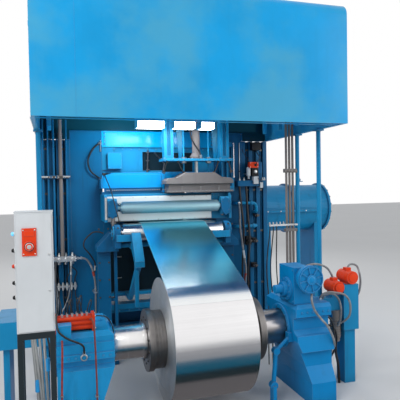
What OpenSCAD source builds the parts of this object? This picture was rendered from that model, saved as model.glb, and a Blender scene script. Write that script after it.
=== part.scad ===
// Four-high rolling mill stand with its tension reel, coil, strip and fume hood.
// Millimetres. X runs across the strip, Y along it, Z up from the lowest floor.
// The reel side is -Y. The origin lies on the floor under the roll bite.

/* [Pass line and strip] */
// Height of the pass line above the lowest floor
pass_z = 2670; // [2620:10:2720]
// Thickness of the strip
strip_t = 3; // [2:0.5:5]
// Width of the strip and of the coil
strip_w = 1200; // [1100:10:1240]
// Clearance between the strip and each roll or wrap that it lies on
strip_gap = 0.5; // [0.3:0.1:1]
// How far the strip runs past the exit roll
strip_tail = 700; // [500:50:900]

/* [Rolls] */
// Diameter of the work rolls
work_d = 420; // [390:5:440]
// Diameter of the backup rolls
backup_d = 1150; // [1100:10:1180]
// Length of the roll barrels
barrel_w = 1450; // [1400:10:1500]
// Diameter of the work roll necks
work_neck_d = 240; // [200:10:280]
// Diameter of the backup roll necks
backup_neck_d = 620; // [560:10:680]
// Radial clearance of a neck or journal in its bearing
fit = 0.05; // [0.02:0.01:0.1]

/* [Housings] */
// Distance of the inner housing faces from the centreline
housing_in = 1160; // [1140:5:1180]
// Thickness of a housing
housing_t = 600; // [560:10:640]
// Half depth of a housing along the strip
housing_half = 1150; // [1120:10:1180]
// Height of the housings
housing_h = 5600; // [5500:20:5700]
// Half width of the housing window
window_half = 650; // [630:5:670]
// Height of the window sill
window_bottom = 950; // [930:10:980]
// Height of the window top
window_top = 4600; // [4570:10:4640]
// Radius of the window's corners
window_r = 90; // [80:5:100]
// How far the housing feet reach past the posts
foot_reach = 350; // [300:10:400]
// Height of the housing feet
foot_h = 340; // [300:10:380]
// Width of the service frames beside the housings
frame_w = 580; // [540:10:600]
// Depth of the service frames
frame_d = 460; // [400:10:480]

/* [Hood] */
// Half width of the hood
hood_half = 2335; // [2300:5:2360]
// Length of the hood in front of the housings
hood_len = 3000; // [2900:20:3100]
// Height of the hood's lower edge
hood_bottom = 4250; // [4220:10:4280]
// Height of the hood's roof
hood_top = 6110; // [6040:10:6160]
// Radius of the hood's top front edge
hood_r = 180; // [150:10:220]
// Thickness of the hood's panels
hood_wall = 50; // [40:5:60]

/* [Deflector rolls and guides] */
// Distance of the deflector rolls from the roll bite
deflector_y = 2110; // [2060:10:2160]
// Diameter of the deflector rolls
deflector_d = 320; // [280:10:340]
// Length of the deflector roll barrels
deflector_w = 1840; // [1800:10:1860]
// Diameter of the deflector journals
journal_d = 130; // [110:5:150]
// Distance of the guide roll from the roll bite
guide_y = 1920; // [1900:5:1940]
// Diameter of the guide roll
guide_d = 220; // [200:5:230]

/* [Tension reel] */
// Distance of the reel axis from the roll bite
reel_y = 3720; // [3680:10:3780]
// Height of the reel axis
reel_z = 1070; // [1050:10:1100]
// Outer diameter of the coil
coil_d = 1790; // [1600:10:1800]
// Bore of the coil
coil_bore = 610; // [508:2:620]
// Diameter of the mandrel shafts
shaft_d = 470; // [420:10:490]
// Distance of the reel supports from the centreline
support_in = 1350; // [1320:10:1380]
// Width of the left reel gearbox
gearbox_w = 740; // [700:10:780]
// Width of the right reel support
support_w = 600; // [560:10:640]

/* [Control box] */
// Width of the control box
cabinet_w = 390; // [360:10:420]
// Height of the control box
cabinet_h = 1290; // [1240:10:1320]
// Depth of the control box
cabinet_d = 260; // [240:10:300]
// Height of the control box's lower edge
cabinet_z = 1770; // [1740:10:1800]

/* [Hidden] */

blue = [0.05, 0.50, 0.75];
deep_blue = [0.00, 0.33, 0.53];
azure = [0.00, 0.60, 0.95];
sky_blue = [0.10, 0.62, 0.85];
steel = [0.75, 0.76, 0.77];
dark_steel = [0.35, 0.35, 0.36];
grey = [0.45, 0.45, 0.46];
orange = [0.92, 0.29, 0.14];

$fn = 64;
eps = 0.01;
seat_gap = 0.3;

housing_out = housing_in + housing_t;
frame_out = housing_out + frame_w;
low_work_z = pass_z - strip_gap - work_d / 2;
top_work_z = pass_z + strip_t + strip_gap + work_d / 2;
low_backup_z = low_work_z - strip_gap - work_d / 2 - backup_d / 2;
top_backup_z = top_work_z + strip_gap + work_d / 2 + backup_d / 2;
chock_side_gap = 2;
chock_half = window_half - chock_side_gap;
chock_inset = 20;
chock_out = housing_out - chock_inset;
chock_t = chock_out - housing_in - chock_inset;
chock_cut = window_r + 5;
work_chock_cut = 40;
work_chock_half = 400;
work_chock_h = 400;
capsule_h = 300;
top_chock_top = window_top - capsule_h;

deflector_z = pass_z - strip_gap - deflector_d / 2;
guide_z = pass_z + 276;
guide_side_t = 50;
guide_front_y = -guide_y - 30;

coil_r = coil_d / 2;
roll_r = deflector_d / 2 + strip_gap;
wrap_r = coil_r + strip_gap;
run_dy = reel_y - deflector_y;
run_dz = deflector_z - reel_z;
run_len = norm([run_dy, run_dz]);
slope = atan2(run_dz, run_dy) - asin((wrap_r - roll_r) / run_len);

cabinet_x = -2290;
cabinet_y = -5250;

// A profile drawn in Y and Z, carried along X from x0 over a length
module along_x(x0, length) {
    translate([x0, 0, 0]) rotate([90, 0, 90]) linear_extrude(length) children();
}

// A profile drawn in X and Z, carried along Y from y0 over a length
module along_y(y0, length) {
    translate([0, y0 + length, 0]) rotate([90, 0, 0]) linear_extrude(length) children();
}

module block(low, high) {
    translate(low) cube(high - low);
}

module rod_x(x0, x1, y, z, d) {
    translate([x0, y, z]) rotate([0, 90, 0]) cylinder(h = x1 - x0, d = d);
}

module rod_y(x, y0, y1, z, d) {
    translate([x, y1, z]) rotate([90, 0, 0]) cylinder(h = y1 - y0, d = d);
}

module rod_z(x, y, z0, z1, d) {
    translate([x, y, z0]) cylinder(h = z1 - z0, d = d);
}

module both_sides() {
    children();
    mirror([1, 0, 0]) children();
}

// A rectangle with round corners, from its low to its high corner
module round_rect(low, high, r) {
    translate([low[0] + r, low[1]]) square([high[0] - low[0] - 2 * r, high[1] - low[1]]);
    translate([low[0], low[1] + r]) square([high[0] - low[0], high[1] - low[1] - 2 * r]);
    for (u = [low[0] + r, high[0] - r]) {
        for (v = [low[1] + r, high[1] - r]) {
            translate([u, v]) circle(r = r);
        }
    }
}

function unit(v) = v / norm(v);

// A point on the smooth curve through p, between p[i] and p[i + 1]
function curve_point(p, i, t) =
    let (
        a = p[max(i - 1, 0)],
        b = p[i],
        c = p[i + 1],
        d = p[min(i + 2, len(p) - 1)]
    )
    0.5 * (2 * b + (c - a) * t + (2 * a - 5 * b + 4 * c - d) * t * t
        + (3 * b - a - 3 * c + d) * t * t * t);

function curve(p, steps) = concat(
    [for (i = [0 : len(p) - 2]) for (s = [0 : steps - 1]) curve_point(p, i, s / steps)],
    [p[len(p) - 1]]);

// Hoses leave and end straight down, so that their end faces lie flat on the fittings
function tangent(q, i) = i == 0 || i == len(q) - 1 ? [0, 0, -1]
    : unit(q[i + 1] - q[i - 1]);

function turned(n, t) = unit(n - (n * t) * t);

// Normals along the curve, each turned as little as possible from the last
function normals(q) = [
    for (i = 0, n = turned([0.31, 0.87, 0.38], tangent(q, 0));
        i < len(q);
        i = i + 1, n = i < len(q) ? turned(n, tangent(q, i)) : n) n];

// A hose of round section through hand-set points
module hose(points, d, steps = 3, sides = 8) {
    q = curve(points, steps);
    n = normals(q);
    rings = [for (i = [0 : len(q) - 1]) for (k = [0 : sides - 1])
        let (a = 360 * k / sides, m = cross(tangent(q, i), n[i]))
        q[i] + d / 2 * (cos(a) * n[i] + sin(a) * m)];
    walls = [for (i = [0 : len(q) - 2]) for (k = [0 : sides - 1])
        let (j = (k + 1) % sides)
        [i * sides + k, (i + 1) * sides + k, (i + 1) * sides + j, i * sides + j]];
    last = (len(q) - 1) * sides;
    polyhedron(rings, concat(walls,
        [[for (k = [0 : sides - 1]) k]],
        [[for (k = [sides - 1 : -1 : 0]) last + k]]), convexity = 6);
}

// Housings and the beams between them
foot_bolt_d = 90;
foot_bolt_y = housing_half + foot_reach / 2;
foot_bolt_dx = 320;
housing_r = 420;
housing_arch = housing_h - 3 * housing_r;

module housing_plate() {
    difference() {
        along_x(housing_in, housing_t) difference() {
            union() {
                translate([-housing_half, 0]) square([2 * housing_half, housing_h - 2 * housing_r]);
                round_rect([-housing_half, housing_arch], [housing_half, housing_h], housing_r);
                translate([-housing_half - foot_reach, 0])
                    square([2 * (housing_half + foot_reach), foot_h]);
            }
            round_rect([-window_half, window_bottom], [window_half, window_top], window_r);
        }
        for (sy = [-1, 1]) {
            for (sx = [-1, 1]) {
                rod_z(housing_in + housing_t / 2 + sx * foot_bolt_dx / 2,
                    sy * foot_bolt_y, -1, foot_h + 1, foot_bolt_d);
            }
        }
    }
}

module left_housing() {
    color(deep_blue) mirror([1, 0, 0]) housing_plate();
}

module right_housing() {
    color(deep_blue) housing_plate();
}

low_beam = [900, 480];
top_beam = [1000, 560];
top_beam_z = window_top + 250;
beam_flange = 100;
beam_pocket = 150;

// A beam between the housings, of I section: its size is its depth and its height
module separator_beam(size, z) {
    along_x(-housing_in, 2 * housing_in) difference() {
        translate([-size[0] / 2, z]) square(size);
        for (s = [-1, 1]) {
            translate([s * size[0] / 2 - beam_pocket, z + beam_flange])
                square([2 * beam_pocket, size[1] - 2 * beam_flange]);
        }
    }
}

module separator_beams() {
    color(deep_blue) {
        separator_beam(low_beam, foot_h);
        separator_beam(top_beam, top_beam_z);
    }
}

entry_beam_low = 4110;
entry_beam_high = 4440;

module entry_upper_beam() {
    color(sky_blue) along_x(-housing_in, 2 * housing_in) difference() {
        translate([-housing_half, entry_beam_low])
            square([260, entry_beam_high - entry_beam_low]);
        translate([-housing_half + 140, entry_beam_low + 60]) square([200, 210]);
    }
}

guard_plate_y = -housing_half + 130;
guard_plate_t = 20;
lower_beam_z = 1170;
lower_beam_h = 70;

module lower_entry_beam() {
    color(blue) along_x(-housing_in, 2 * housing_in) union() {
        translate([-housing_half, 900]) square([240, 110]);
        translate([-housing_half + 90, 820]) square([60, 80 + eps]);
    }
    color(blue) along_x(-housing_in, 2 * housing_in)
        translate([-housing_half, lower_beam_z])
            square([guard_plate_y + guard_plate_t + housing_half, lower_beam_h]);
}

panel_low = 3600;
panel_t = 50;
panel_hole = [[-350, 3650], [90, 4020]];

// The blue panel over the guides, with the opening for the spray pipes
module window_panel() {
    color(blue) difference() {
        block([-housing_in, -housing_half + 60, panel_low],
            [housing_in, -housing_half + 60 + panel_t, entry_beam_low]);
        block([panel_hole[0][0], -housing_half + 59, panel_hole[0][1]],
            [panel_hole[1][0], -housing_half + 61 + panel_t, panel_hole[1][1]]);
    }
    color(sky_blue) block([-housing_in, -housing_half + 30, panel_low + 60],
        [-930, -housing_half + 60 + eps, entry_beam_low]);
}

panel_back = -housing_half + 60 + panel_t;

// Dark plates that close the view to the rolls, below the strip and behind the opening
module inner_guards() {
    color(dark_steel) {
        block([-housing_in, guard_plate_y, lower_beam_z + lower_beam_h],
            [housing_in, guard_plate_y + guard_plate_t, deflector_z - 100]);
        difference() {
            block([panel_hole[0][0] - 60, panel_back, panel_low],
                [panel_hole[1][0] + 60, guard_plate_y + guard_plate_t, entry_beam_low]);
            block([panel_hole[0][0] - 40, panel_back - 1, panel_low + 20],
                [panel_hole[1][0] + 40, guard_plate_y, entry_beam_low - 20]);
        }
    }
}

// Service frames beside the housings, with their upright channels
channel_w = 90;
frame_plate_t = 60;
rung_h = 110;
frame_back = -housing_half + frame_d - frame_plate_t;

module service_frame() {
    color(deep_blue) {
        block([housing_out, frame_back, 0],
            [frame_out, -housing_half + frame_d, hood_bottom]);
        for (i = [0 : 3]) {
            x = housing_out + i * (frame_w - channel_w) / 3;
            block([x, -housing_half, 0],
                [x + channel_w, frame_back + eps, hood_bottom]);
        }
        for (z = [for (i = [0 : 4]) i * (hood_bottom - rung_h) / 4]) {
            block([housing_out, -housing_half + 120, z],
                [frame_out, frame_back + eps, z + rung_h]);
        }
    }
}

module left_service_frame() {
    mirror([1, 0, 0]) service_frame();
}

module right_service_frame() {
    service_frame();
}

// Rolls, chocks and capsules
neck_end = chock_out - 15;

module roll(z, barrel_d, neck_d) {
    color(steel) {
        rod_x(-barrel_w / 2, barrel_w / 2, 0, z, barrel_d);
        rod_x(-neck_end, neck_end, 0, z, neck_d);
        rod_x(-barrel_w / 2 - 60, barrel_w / 2 + 60, 0, z, neck_d * 1.18);
    }
}

module backup_rolls() {
    roll(low_backup_z, backup_d, backup_neck_d);
    roll(top_backup_z, backup_d, backup_neck_d);
}

module work_rolls() {
    roll(low_work_z, work_d, work_neck_d);
    roll(top_work_z, work_d, work_neck_d);
}

// A square with its corners cut off, from its low to its high corner
module cut_square(low, high, cut) {
    polygon([
        [low[0] + cut, low[1]], [high[0] - cut, low[1]], [high[0], low[1] + cut],
        [high[0], high[1] - cut], [high[0] - cut, high[1]], [low[0] + cut, high[1]],
        [low[0], high[1] - cut], [low[0], low[1] + cut]]);
}

keeper_w = 90;
keeper_t = 60;

// Two chocks with their bearing bores, and grooves for the keeper plates
module chock_pair(half, z0, z1, bore_z, bore_d, cut) {
    both_sides() color(blue) difference() {
        along_x(housing_in + chock_inset, chock_t) difference() {
            cut_square([-half, z0], [half, z1], cut);
            translate([0, bore_z]) circle(d = bore_d + 2 * fit);
        }
        for (s = [-1, 1]) {
            block([chock_out - keeper_t, s * half - keeper_w, z0 + cut],
                [chock_out + 1, s * half + keeper_w, z1 - cut]);
        }
    }
}

module backup_chocks() {
    chock_pair(chock_half, window_bottom, low_work_z - work_chock_h / 2 - seat_gap,
        low_backup_z, backup_neck_d, chock_cut);
    chock_pair(chock_half, top_work_z + work_chock_h / 2 + seat_gap, top_chock_top,
        top_backup_z, backup_neck_d, chock_cut);
}

balance_d = 110;
balance_y = 280;

module work_chocks() {
    low_top = low_work_z + work_chock_h / 2;
    top_low = top_work_z - work_chock_h / 2;
    chock_pair(work_chock_half, low_work_z - work_chock_h / 2, low_top, low_work_z, work_neck_d,
        work_chock_cut);
    chock_pair(work_chock_half, top_low, top_work_z + work_chock_h / 2, top_work_z, work_neck_d,
        work_chock_cut);
    both_sides() color(steel) for (s = [-1, 1]) {
        rod_z(housing_in + housing_t / 2, s * balance_y, low_top - eps, top_low - seat_gap,
            balance_d);
    }
}

piston_d = 470;
piston_h = 90;
capsule_d = 560;

module capsule_cylinders() {
    x = housing_in + housing_t / 2;
    both_sides() color(steel) {
        rod_z(x, 0, top_chock_top, top_chock_top + piston_h, piston_d);
        rod_z(x, 0, top_chock_top + piston_h - eps, window_top, capsule_d);
    }
}

// Entry guides between the housings and the deflector roll
guard_low = 3300;
guard_high = panel_low - 5;
guard_right = -55;

module entry_guard_box() {
    color(azure) along_y(-housing_half - 350, 350) polygon([
        [-housing_in - 60, guard_low], [guard_right, guard_low], [guard_right, guard_high],
        [-housing_in + 140, guard_high], [-housing_in - 60, guard_high - 120]]);
    color(blue) block([-housing_in, -housing_half - 330, guard_low - 70],
        [guard_right - 20, -housing_half - 290, guard_low + eps]);
}

plate_low = pass_z + 20;
plate_high = plate_low + 500;

guide_neck_d = 80;
guide_left = -890;
guide_right = 930;

module guide_side_plates() {
    both_sides() color(blue) along_x(housing_in, guide_side_t) polygon([
        [-housing_half, plate_low], [guide_front_y, plate_low],
        [guide_front_y, plate_high - 60], [guide_front_y + 60, plate_high],
        [-housing_half, plate_high]]);
}

// The wiper bars stand behind the guide roll, and end at the right in a plate
bar_y = -guide_y + 120;
bar_t = 90;
bar_right = 850;
bar_h = 180;
guide_beam_h = 95;
guide_beam_d = 190;

module guide_beam() {
    color(blue) along_x(-housing_in, 2 * housing_in) difference() {
        translate([bar_y + bar_t + 10, plate_high - guide_beam_h])
            square([guide_beam_d, guide_beam_h]);
        translate([bar_y + bar_t + 30, plate_high - guide_beam_h + 20])
            square([guide_beam_d, guide_beam_h - 40]);
    }
}

module wiper_bars() {
    color(steel) along_x(-housing_in, housing_in + bar_right)
        round_rect([bar_y, plate_high - bar_h], [bar_y + bar_t, plate_high - 40], 18);
    color(steel) along_x(-housing_in, housing_in + bar_right)
        round_rect([bar_y, plate_low], [bar_y + bar_t, plate_low + bar_h], 18);
}

module guide_end_block() {
    color(blue) block([bar_right, bar_y - 10, plate_low],
        [housing_in, bar_y + bar_t, plate_high - 10]);
}

bearing_w = 170;
bearing_h = 340;
bearing_t = 130;

module guide_bearings() {
    color(blue) both_sides() difference() {
        along_x(housing_in - bearing_w, bearing_w) translate([-guide_y, guide_z])
            cut_square([-bearing_t / 2, -bearing_h / 2], [bearing_t / 2, bearing_h / 2], 35);
        rod_x(housing_in - bearing_w - 1, housing_in + 1, -guide_y, guide_z,
            guide_neck_d + 2 * fit);
    }
}

module guide_roll() {
    neck = housing_in - bearing_w + 150;
    color(steel) {
        rod_x(guide_left, guide_right, -guide_y, guide_z, guide_d);
        rod_x(-neck, neck, -guide_y, guide_z, guide_neck_d);
    }
    color(dark_steel) rod_x(guide_left - 30, guide_right + 30, -guide_y, guide_z, guide_d - 60);
}

cover_left = -75;
cover_right = 1252;
cover_low = plate_high + 15;
cover_lip = cover_low + 160;
cover_shoulder = cover_lip + 105;
cover_front = -guide_y - 60;
cover_back = cover_front + 420;
cover_peak = cover_low + 370;
cover_inset = 50;
cover_mid = (cover_left + cover_right) / 2;

module wiper_cover() {
    color(grey) {
        along_y(cover_front, cover_back - cover_front) polygon([
            [cover_left, cover_lip], [cover_right, cover_lip], [cover_right, cover_lip + 55],
            [cover_right - 50, cover_shoulder], [cover_mid + 420, cover_shoulder + 20],
            [cover_mid + 290, cover_peak], [cover_mid - 290, cover_peak],
            [cover_mid - 420, cover_shoulder + 20], [cover_left + 50, cover_shoulder],
            [cover_left, cover_lip + 55]]);
        block([cover_left + cover_inset, cover_front + cover_inset, cover_low],
            [cover_right - cover_inset, cover_back - cover_inset, cover_lip + eps]);
    }
}

// The lift over the cover hangs from the hood's rear wall
lift_plate_z = 3800;
lift_plate_t = 45;
lift_y = -1700;
lift_arm_z = 4700;
column_w = 180;
lift_rod_d = 60;
guide_rod_d = 30;
guide_rod_dx = 250;
lift_arm_dx = 560;
lift_arm_h = 140;

module lift_column(x) {
    difference() {
        block([x - column_w / 2, lift_y - column_w / 2, lift_plate_z + lift_plate_t],
            [x + column_w / 2, lift_y + column_w / 2, lift_arm_z]);
        block([x - 35, lift_y - column_w / 2 - 1, lift_plate_z + lift_plate_t + 60],
            [x + 35, lift_y - column_w / 2 + 40, lift_arm_z - 60]);
    }
}

module lift_frame() {
    color(blue) {
        difference() {
            block([cover_left - 30, lift_y - 200, lift_plate_z],
                [cover_right + 40, lift_y + 200, lift_plate_z + lift_plate_t]);
            rod_z(cover_mid, lift_y, lift_plate_z - 1, lift_plate_z + lift_plate_t + 1,
                lift_rod_d + 10);
        }
        for (x = [cover_mid - lift_arm_dx, cover_mid + lift_arm_dx]) {
            lift_column(x);
            block([x - 60, lift_y - 120, lift_arm_z - eps],
                [x + 60, -housing_half - hood_wall, lift_arm_z + lift_arm_h]);
        }
        block([cover_mid - lift_arm_dx, lift_y - column_w / 2, lift_arm_z],
            [cover_mid + lift_arm_dx, lift_y + column_w / 2, lift_arm_z + lift_arm_h]);
    }
    color(steel) for (s = [-1, 1]) {
        rod_z(cover_mid + s * guide_rod_dx, lift_y, cover_peak, lift_plate_z + eps,
            guide_rod_d);
        rod_z(cover_mid + s * guide_rod_dx, lift_y, lift_plate_z + lift_plate_t - eps,
            lift_arm_z + eps, guide_rod_d);
    }
}

module lift_cylinder() {
    base_z = lift_plate_z + lift_plate_t;
    color(dark_steel) rod_z(cover_mid, lift_y, base_z, base_z + 50, 240);
    color(dark_steel) translate([cover_mid, lift_y, base_z + 50 - eps])
        cylinder(h = 60, d1 = 230, d2 = 170);
    color(grey) rod_z(cover_mid, lift_y, base_z + 100, lift_arm_z - 40, 150);
    color(dark_steel) rod_z(cover_mid, lift_y, lift_arm_z - 40 - eps, lift_arm_z, 180);
    color(steel) rod_z(cover_mid, lift_y, cover_peak, base_z + eps, lift_rod_d);
}

module right_guide_column() {
    high = hood_bottom - 30;
    color(blue) difference() {
        block([housing_in + 90, -housing_half - 150, plate_high + 20],
            [housing_in + 370, -housing_half, high]);
        for (i = [0, 1]) {
            block([housing_in + 130 + 110 * i, -housing_half - 151, plate_high + 120],
                [housing_in + 200 + 110 * i, -housing_half - 90, high - 100]);
        }
    }
}

// Deflector and exit rolls
bearing_in = deflector_w / 2 + 50;
bearing_out = bearing_in + 100;
bearing_r = 150;
column_in = housing_in - 60;
column_out = column_in + 230;
column_front = -housing_half - foot_reach - 230;
column_back = -housing_half - foot_reach - 5;

module deflector_shape() {
    rod_x(-deflector_w / 2, deflector_w / 2, -deflector_y, deflector_z, deflector_d);
    rod_x(-bearing_out + 30, bearing_out - 30, -deflector_y, deflector_z, journal_d);
    both_sides() rod_x(deflector_w / 2 - eps, deflector_w / 2 + 30, -deflector_y, deflector_z,
        journal_d + 60);
}

module deflector_roll() {
    color(steel) deflector_shape();
}

module exit_roll() {
    color(steel) mirror([0, 1, 0]) deflector_shape();
}

arm_low = deflector_z - 260;
column_high = arm_low - 90;

// A bearing plate on its column: the plate's post runs down beside the column
module roll_bracket() {
    difference() {
        along_x(bearing_in, bearing_out - bearing_in) union() {
            translate([-deflector_y, deflector_z]) circle(r = bearing_r);
            translate([-deflector_y - bearing_r, arm_low])
                square([2 * bearing_r, deflector_z - arm_low]);
            translate([-deflector_y, arm_low]) square([deflector_y + column_back, 190]);
        }
        rod_x(bearing_in - 1, bearing_out + 1, -deflector_y, deflector_z, journal_d + 2 * fit);
    }
    along_y(column_front - 180, column_back - column_front + 180) polygon([
        [bearing_in, column_high], [column_out + 30, column_high],
        [column_out + 30, arm_low], [column_in + 20, arm_low + 240],
        [bearing_out - eps, arm_low + 240], [bearing_out - eps, arm_low + eps],
        [bearing_in, arm_low + eps]]);
    block([bearing_in, column_front + 60, 0], [bearing_in + 60, column_front + 160,
        column_high + eps]);
    block([column_in, column_front, 0], [column_out, column_back, column_high + eps]);
    for (z = [0, 1200]) {
        block([bearing_in, column_front + 60, z], [column_in + eps, column_front + 160, z + 60]);
    }
}

module deflector_brackets() {
    color(blue) both_sides() roll_bracket();
}

module exit_brackets() {
    color(blue) mirror([0, 1, 0]) both_sides() roll_bracket();
}

// The slanted threading channel under the strip, at the left
arm_x = -800;
arm_w = 160;
arm_shaft_y = -deflector_y + 20;
arm_shaft_z = arm_low + 40;
arm_shaft_d = 90;
arm_front_y = -deflector_y - roll_r - 30;
arm_end_y = arm_front_y - 400;
arm_top = [arm_front_y - 60, arm_shaft_z + 230];
arm_tip = [arm_end_y, arm_shaft_z - 230];
arm_tip_h = 90;

// A point on the arm's front face, at a distance from its top or, below zero, from its tip
function on_arm(t, depth) =
    let (u = unit(arm_tip - arm_top))
    (t >= 0 ? arm_top : arm_tip) + t * u + depth * [-u[1], u[0]];

module swing_arm() {
    color(blue) {
        along_x(arm_x, arm_w) polygon([
            [arm_shaft_y + 60, arm_shaft_z - 60], [arm_shaft_y + 60, arm_shaft_z + 40],
            [arm_front_y, arm_shaft_z + 40],
            [arm_front_y, arm_shaft_z - 60]]);
        difference() {
            along_x(arm_x, arm_w) polygon([
                [arm_front_y + eps, arm_shaft_z - 60], [arm_front_y + eps, arm_top[1]],
                arm_top, arm_tip, arm_tip - [0, arm_tip_h]]);
            along_x(arm_x + 30, arm_w - 60) polygon([
                on_arm(60, 50), on_arm(-60, 50), on_arm(-60, -50), on_arm(60, -50)]);
        }
        along_x(arm_x + 40, arm_w - 80) polygon([
            arm_tip + [30, 40 - arm_tip_h], arm_tip + [130, 100 - arm_tip_h],
            [column_back, lower_beam_z + lower_beam_h], [-housing_half, lower_beam_z + lower_beam_h],
            [-housing_half, lower_beam_z], [column_back - 40, lower_beam_z]]);
        rod_x(-bearing_in, bearing_in, arm_shaft_y, arm_shaft_z, arm_shaft_d);
    }
}

// Strip and coil
lap_angle = 24;

// Points on an arc about c, from one angle to another
function arc(c, r, from, to, steps) = [for (i = [0 : steps])
    let (a = from + (to - from) * i / steps) c + r * [cos(a), sin(a)]];

// The strip's lower surface, or its upper one at t = strip_t, from the coil to the tail
function strip_face(t) = concat(
    arc([-reel_y, reel_z], wrap_r + t, 90 + slope + lap_angle, 90 + slope, 12),
    arc([-deflector_y, deflector_z], roll_r + t, 90 + slope, 90, 8),
    arc([deflector_y, deflector_z], roll_r + t, 90, 90 - slope, 8),
    [[deflector_y, deflector_z] + (roll_r + t) * [sin(slope), cos(slope)]
        + strip_tail * [cos(slope), -sin(slope)]]);

function reversed(list) = [for (i = [len(list) - 1 : -1 : 0]) list[i]];

module strip() {
    color(steel) along_x(-strip_w / 2, strip_w)
        polygon(concat(strip_face(0), reversed(strip_face(strip_t))));
}

module coil() {
    color(steel) difference() {
        rod_x(-strip_w / 2, strip_w / 2, -reel_y, reel_z, coil_d, $fn = 180);
        rod_x(-strip_w / 2 - 1, strip_w / 2 + 1, -reel_y, reel_z, coil_bore);
    }
}

drum_w = 160;
drum_d = 830;
flange_w = 85;
flange_d = 890;
hub_w = 200;
hub_d = 740;
right_flange_w = 100;
right_flange_d = 970;
right_shaft_d = shaft_d + 50;

module reel_mandrel() {
    half = strip_w / 2;
    color(dark_steel) {
        rod_x(-half + eps, half - eps, -reel_y, reel_z, coil_bore - 0.6);
        rod_x(-half - drum_w, -half, -reel_y, reel_z, drum_d);
        rod_x(-half - drum_w - flange_w, -half - drum_w + eps, -reel_y, reel_z, flange_d);
        rod_x(half, half + hub_w + eps, -reel_y, reel_z, hub_d);
        rod_x(half + hub_w, half + hub_w + right_flange_w, -reel_y, reel_z, right_flange_d);
    }
    color(steel) {
        rod_x(-support_in - 200, -half - drum_w, -reel_y, reel_z, shaft_d);
        rod_x(half + hub_w, support_in + 200, -reel_y, reel_z, right_shaft_d);
    }
}

// Reel supports: each a stepped body, narrower in X towards its foot
gear_top = reel_z + 340;
support_top = reel_z + 420;
socket_depth = 260;

// Half depths and heights of the two bodies, from the floor up
gear_steps = [[640, 0], [640, 330], [600, 680], [560, 940], [480, 975], [480, 1040],
    [545, 1060], [545, 1145], [525, 1150], [525, 1275], [505, 1280], [505, gear_top - 60],
    [445, gear_top]];
support_steps = [[640, 0], [640, 330], [520, 560], [520, 780], [600, 800], [560, 1035],
    [500, 1045], [430, 1100], [430, 1270], [520, 1310], [520, support_top - 50],
    [470, support_top]];

module support_side(steps) {
    translate([-reel_y, 0]) polygon(concat(steps, [for (p = reversed(steps)) [-p[0], p[1]]]));
}

module support_front(width, top) {
    polygon([
        [support_in + 190, 0], [support_in + width, 0], [support_in + width, top],
        [support_in + 60, top], [support_in, top - 60], [support_in, 950],
        [support_in + 150, 560], [support_in + 190, 330]]);
}

module support_body(steps, width, top, bore_d) {
    difference() {
        intersection() {
            along_y(-reel_y - 900, 1800) support_front(width, top);
            along_x(support_in - 1, width + 2) support_side(steps);
        }
        rod_x(support_in - 1, support_in + socket_depth, -reel_y, reel_z, bore_d + 2 * fit);
    }
}

module reel_gearbox() {
    color(azure) mirror([1, 0, 0]) support_body(gear_steps, gearbox_w, gear_top, shaft_d);
}

base_w = 720;
base_half = 380;
base_low = gear_top - 155;
base_high = gear_top + 200;
base_leg_t = 80;

base_right = -support_in - gearbox_w - 20;

module reel_drive_base() {
    color(blue) {
        block([base_right - base_w, -reel_y - base_half, base_low],
            [base_right, -reel_y + base_half, base_high]);
        for (x = [base_right - base_w + base_leg_t, base_right - 2 * base_leg_t]) {
            block([x, -reel_y - base_half + base_leg_t, 0],
                [x + base_leg_t, -reel_y + base_half - base_leg_t, base_low + eps]);
        }
    }
}

brake_y = -reel_y - 330;
brake_w = 520;
brake_half = 110;
brake_h = 220;
brake_rib_d = 58;
brake_plate_t = 40;

module brake_unit() {
    x0 = base_right;
    x1 = x0 + brake_w;
    color(orange) {
        for (x = [x0, x1 - brake_plate_t]) {
            block([x, brake_y - brake_half, gear_top],
                [x + brake_plate_t, brake_y + brake_half, gear_top + brake_h]);
        }
        for (i = [0 : 2]) {
            for (y = [brake_y - 60, brake_y + 60]) {
                rod_x(x0 + 30, x1 - 30, y, gear_top + 50 + 60 * i, brake_rib_d);
            }
        }
        block([x0 + 30, brake_y - 70, gear_top + 20], [x1 - 30, brake_y + 70, gear_top + 185]);
    }
}

module outboard_support() {
    color(azure) support_body(support_steps, support_w, support_top, right_shaft_d);
}

head_low = [support_in + 20, -reel_y - 430, support_top];
head_high = [support_in + 320, -reel_y + 60, support_top + 560];
disc_x = support_in + 210;
disc_z = support_top + 400;
boss_y = -reel_y - 200;
boss_z = support_top + 210;

// Steps of the front disc and of the side boss: from, to, and diameter
disc_steps = [[0, 110, 340], [110, 170, 420], [170, 200, 150]];
boss_steps = [[0, 40, 350], [40, 100, 220], [100, 220, 130]];

module outboard_head() {
    color(azure) {
        block(head_low, head_high);
        for (step = disc_steps) {
            rod_y(disc_x, head_low[1] - step[1], head_low[1] - step[0] + eps, disc_z, step[2]);
        }
        for (step = boss_steps) {
            rod_x(head_low[0] - step[1], head_low[0] - step[0] + eps, boss_y, boss_z, step[2]);
        }
    }
}

// The hydraulic unit beside the right support, on its own post
unit_x = support_in + support_w + 490;
unit_y = -reel_y + 50;
unit_w = 280;
unit_d = 340;
unit_high = 1650;
unit_foot = 900;
ledge_low = 1225;
ledge_high = 1500;
ledge_w = 170;
ledge_d = 180;
motor_d = 210;
motor_foot = 120;

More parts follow.
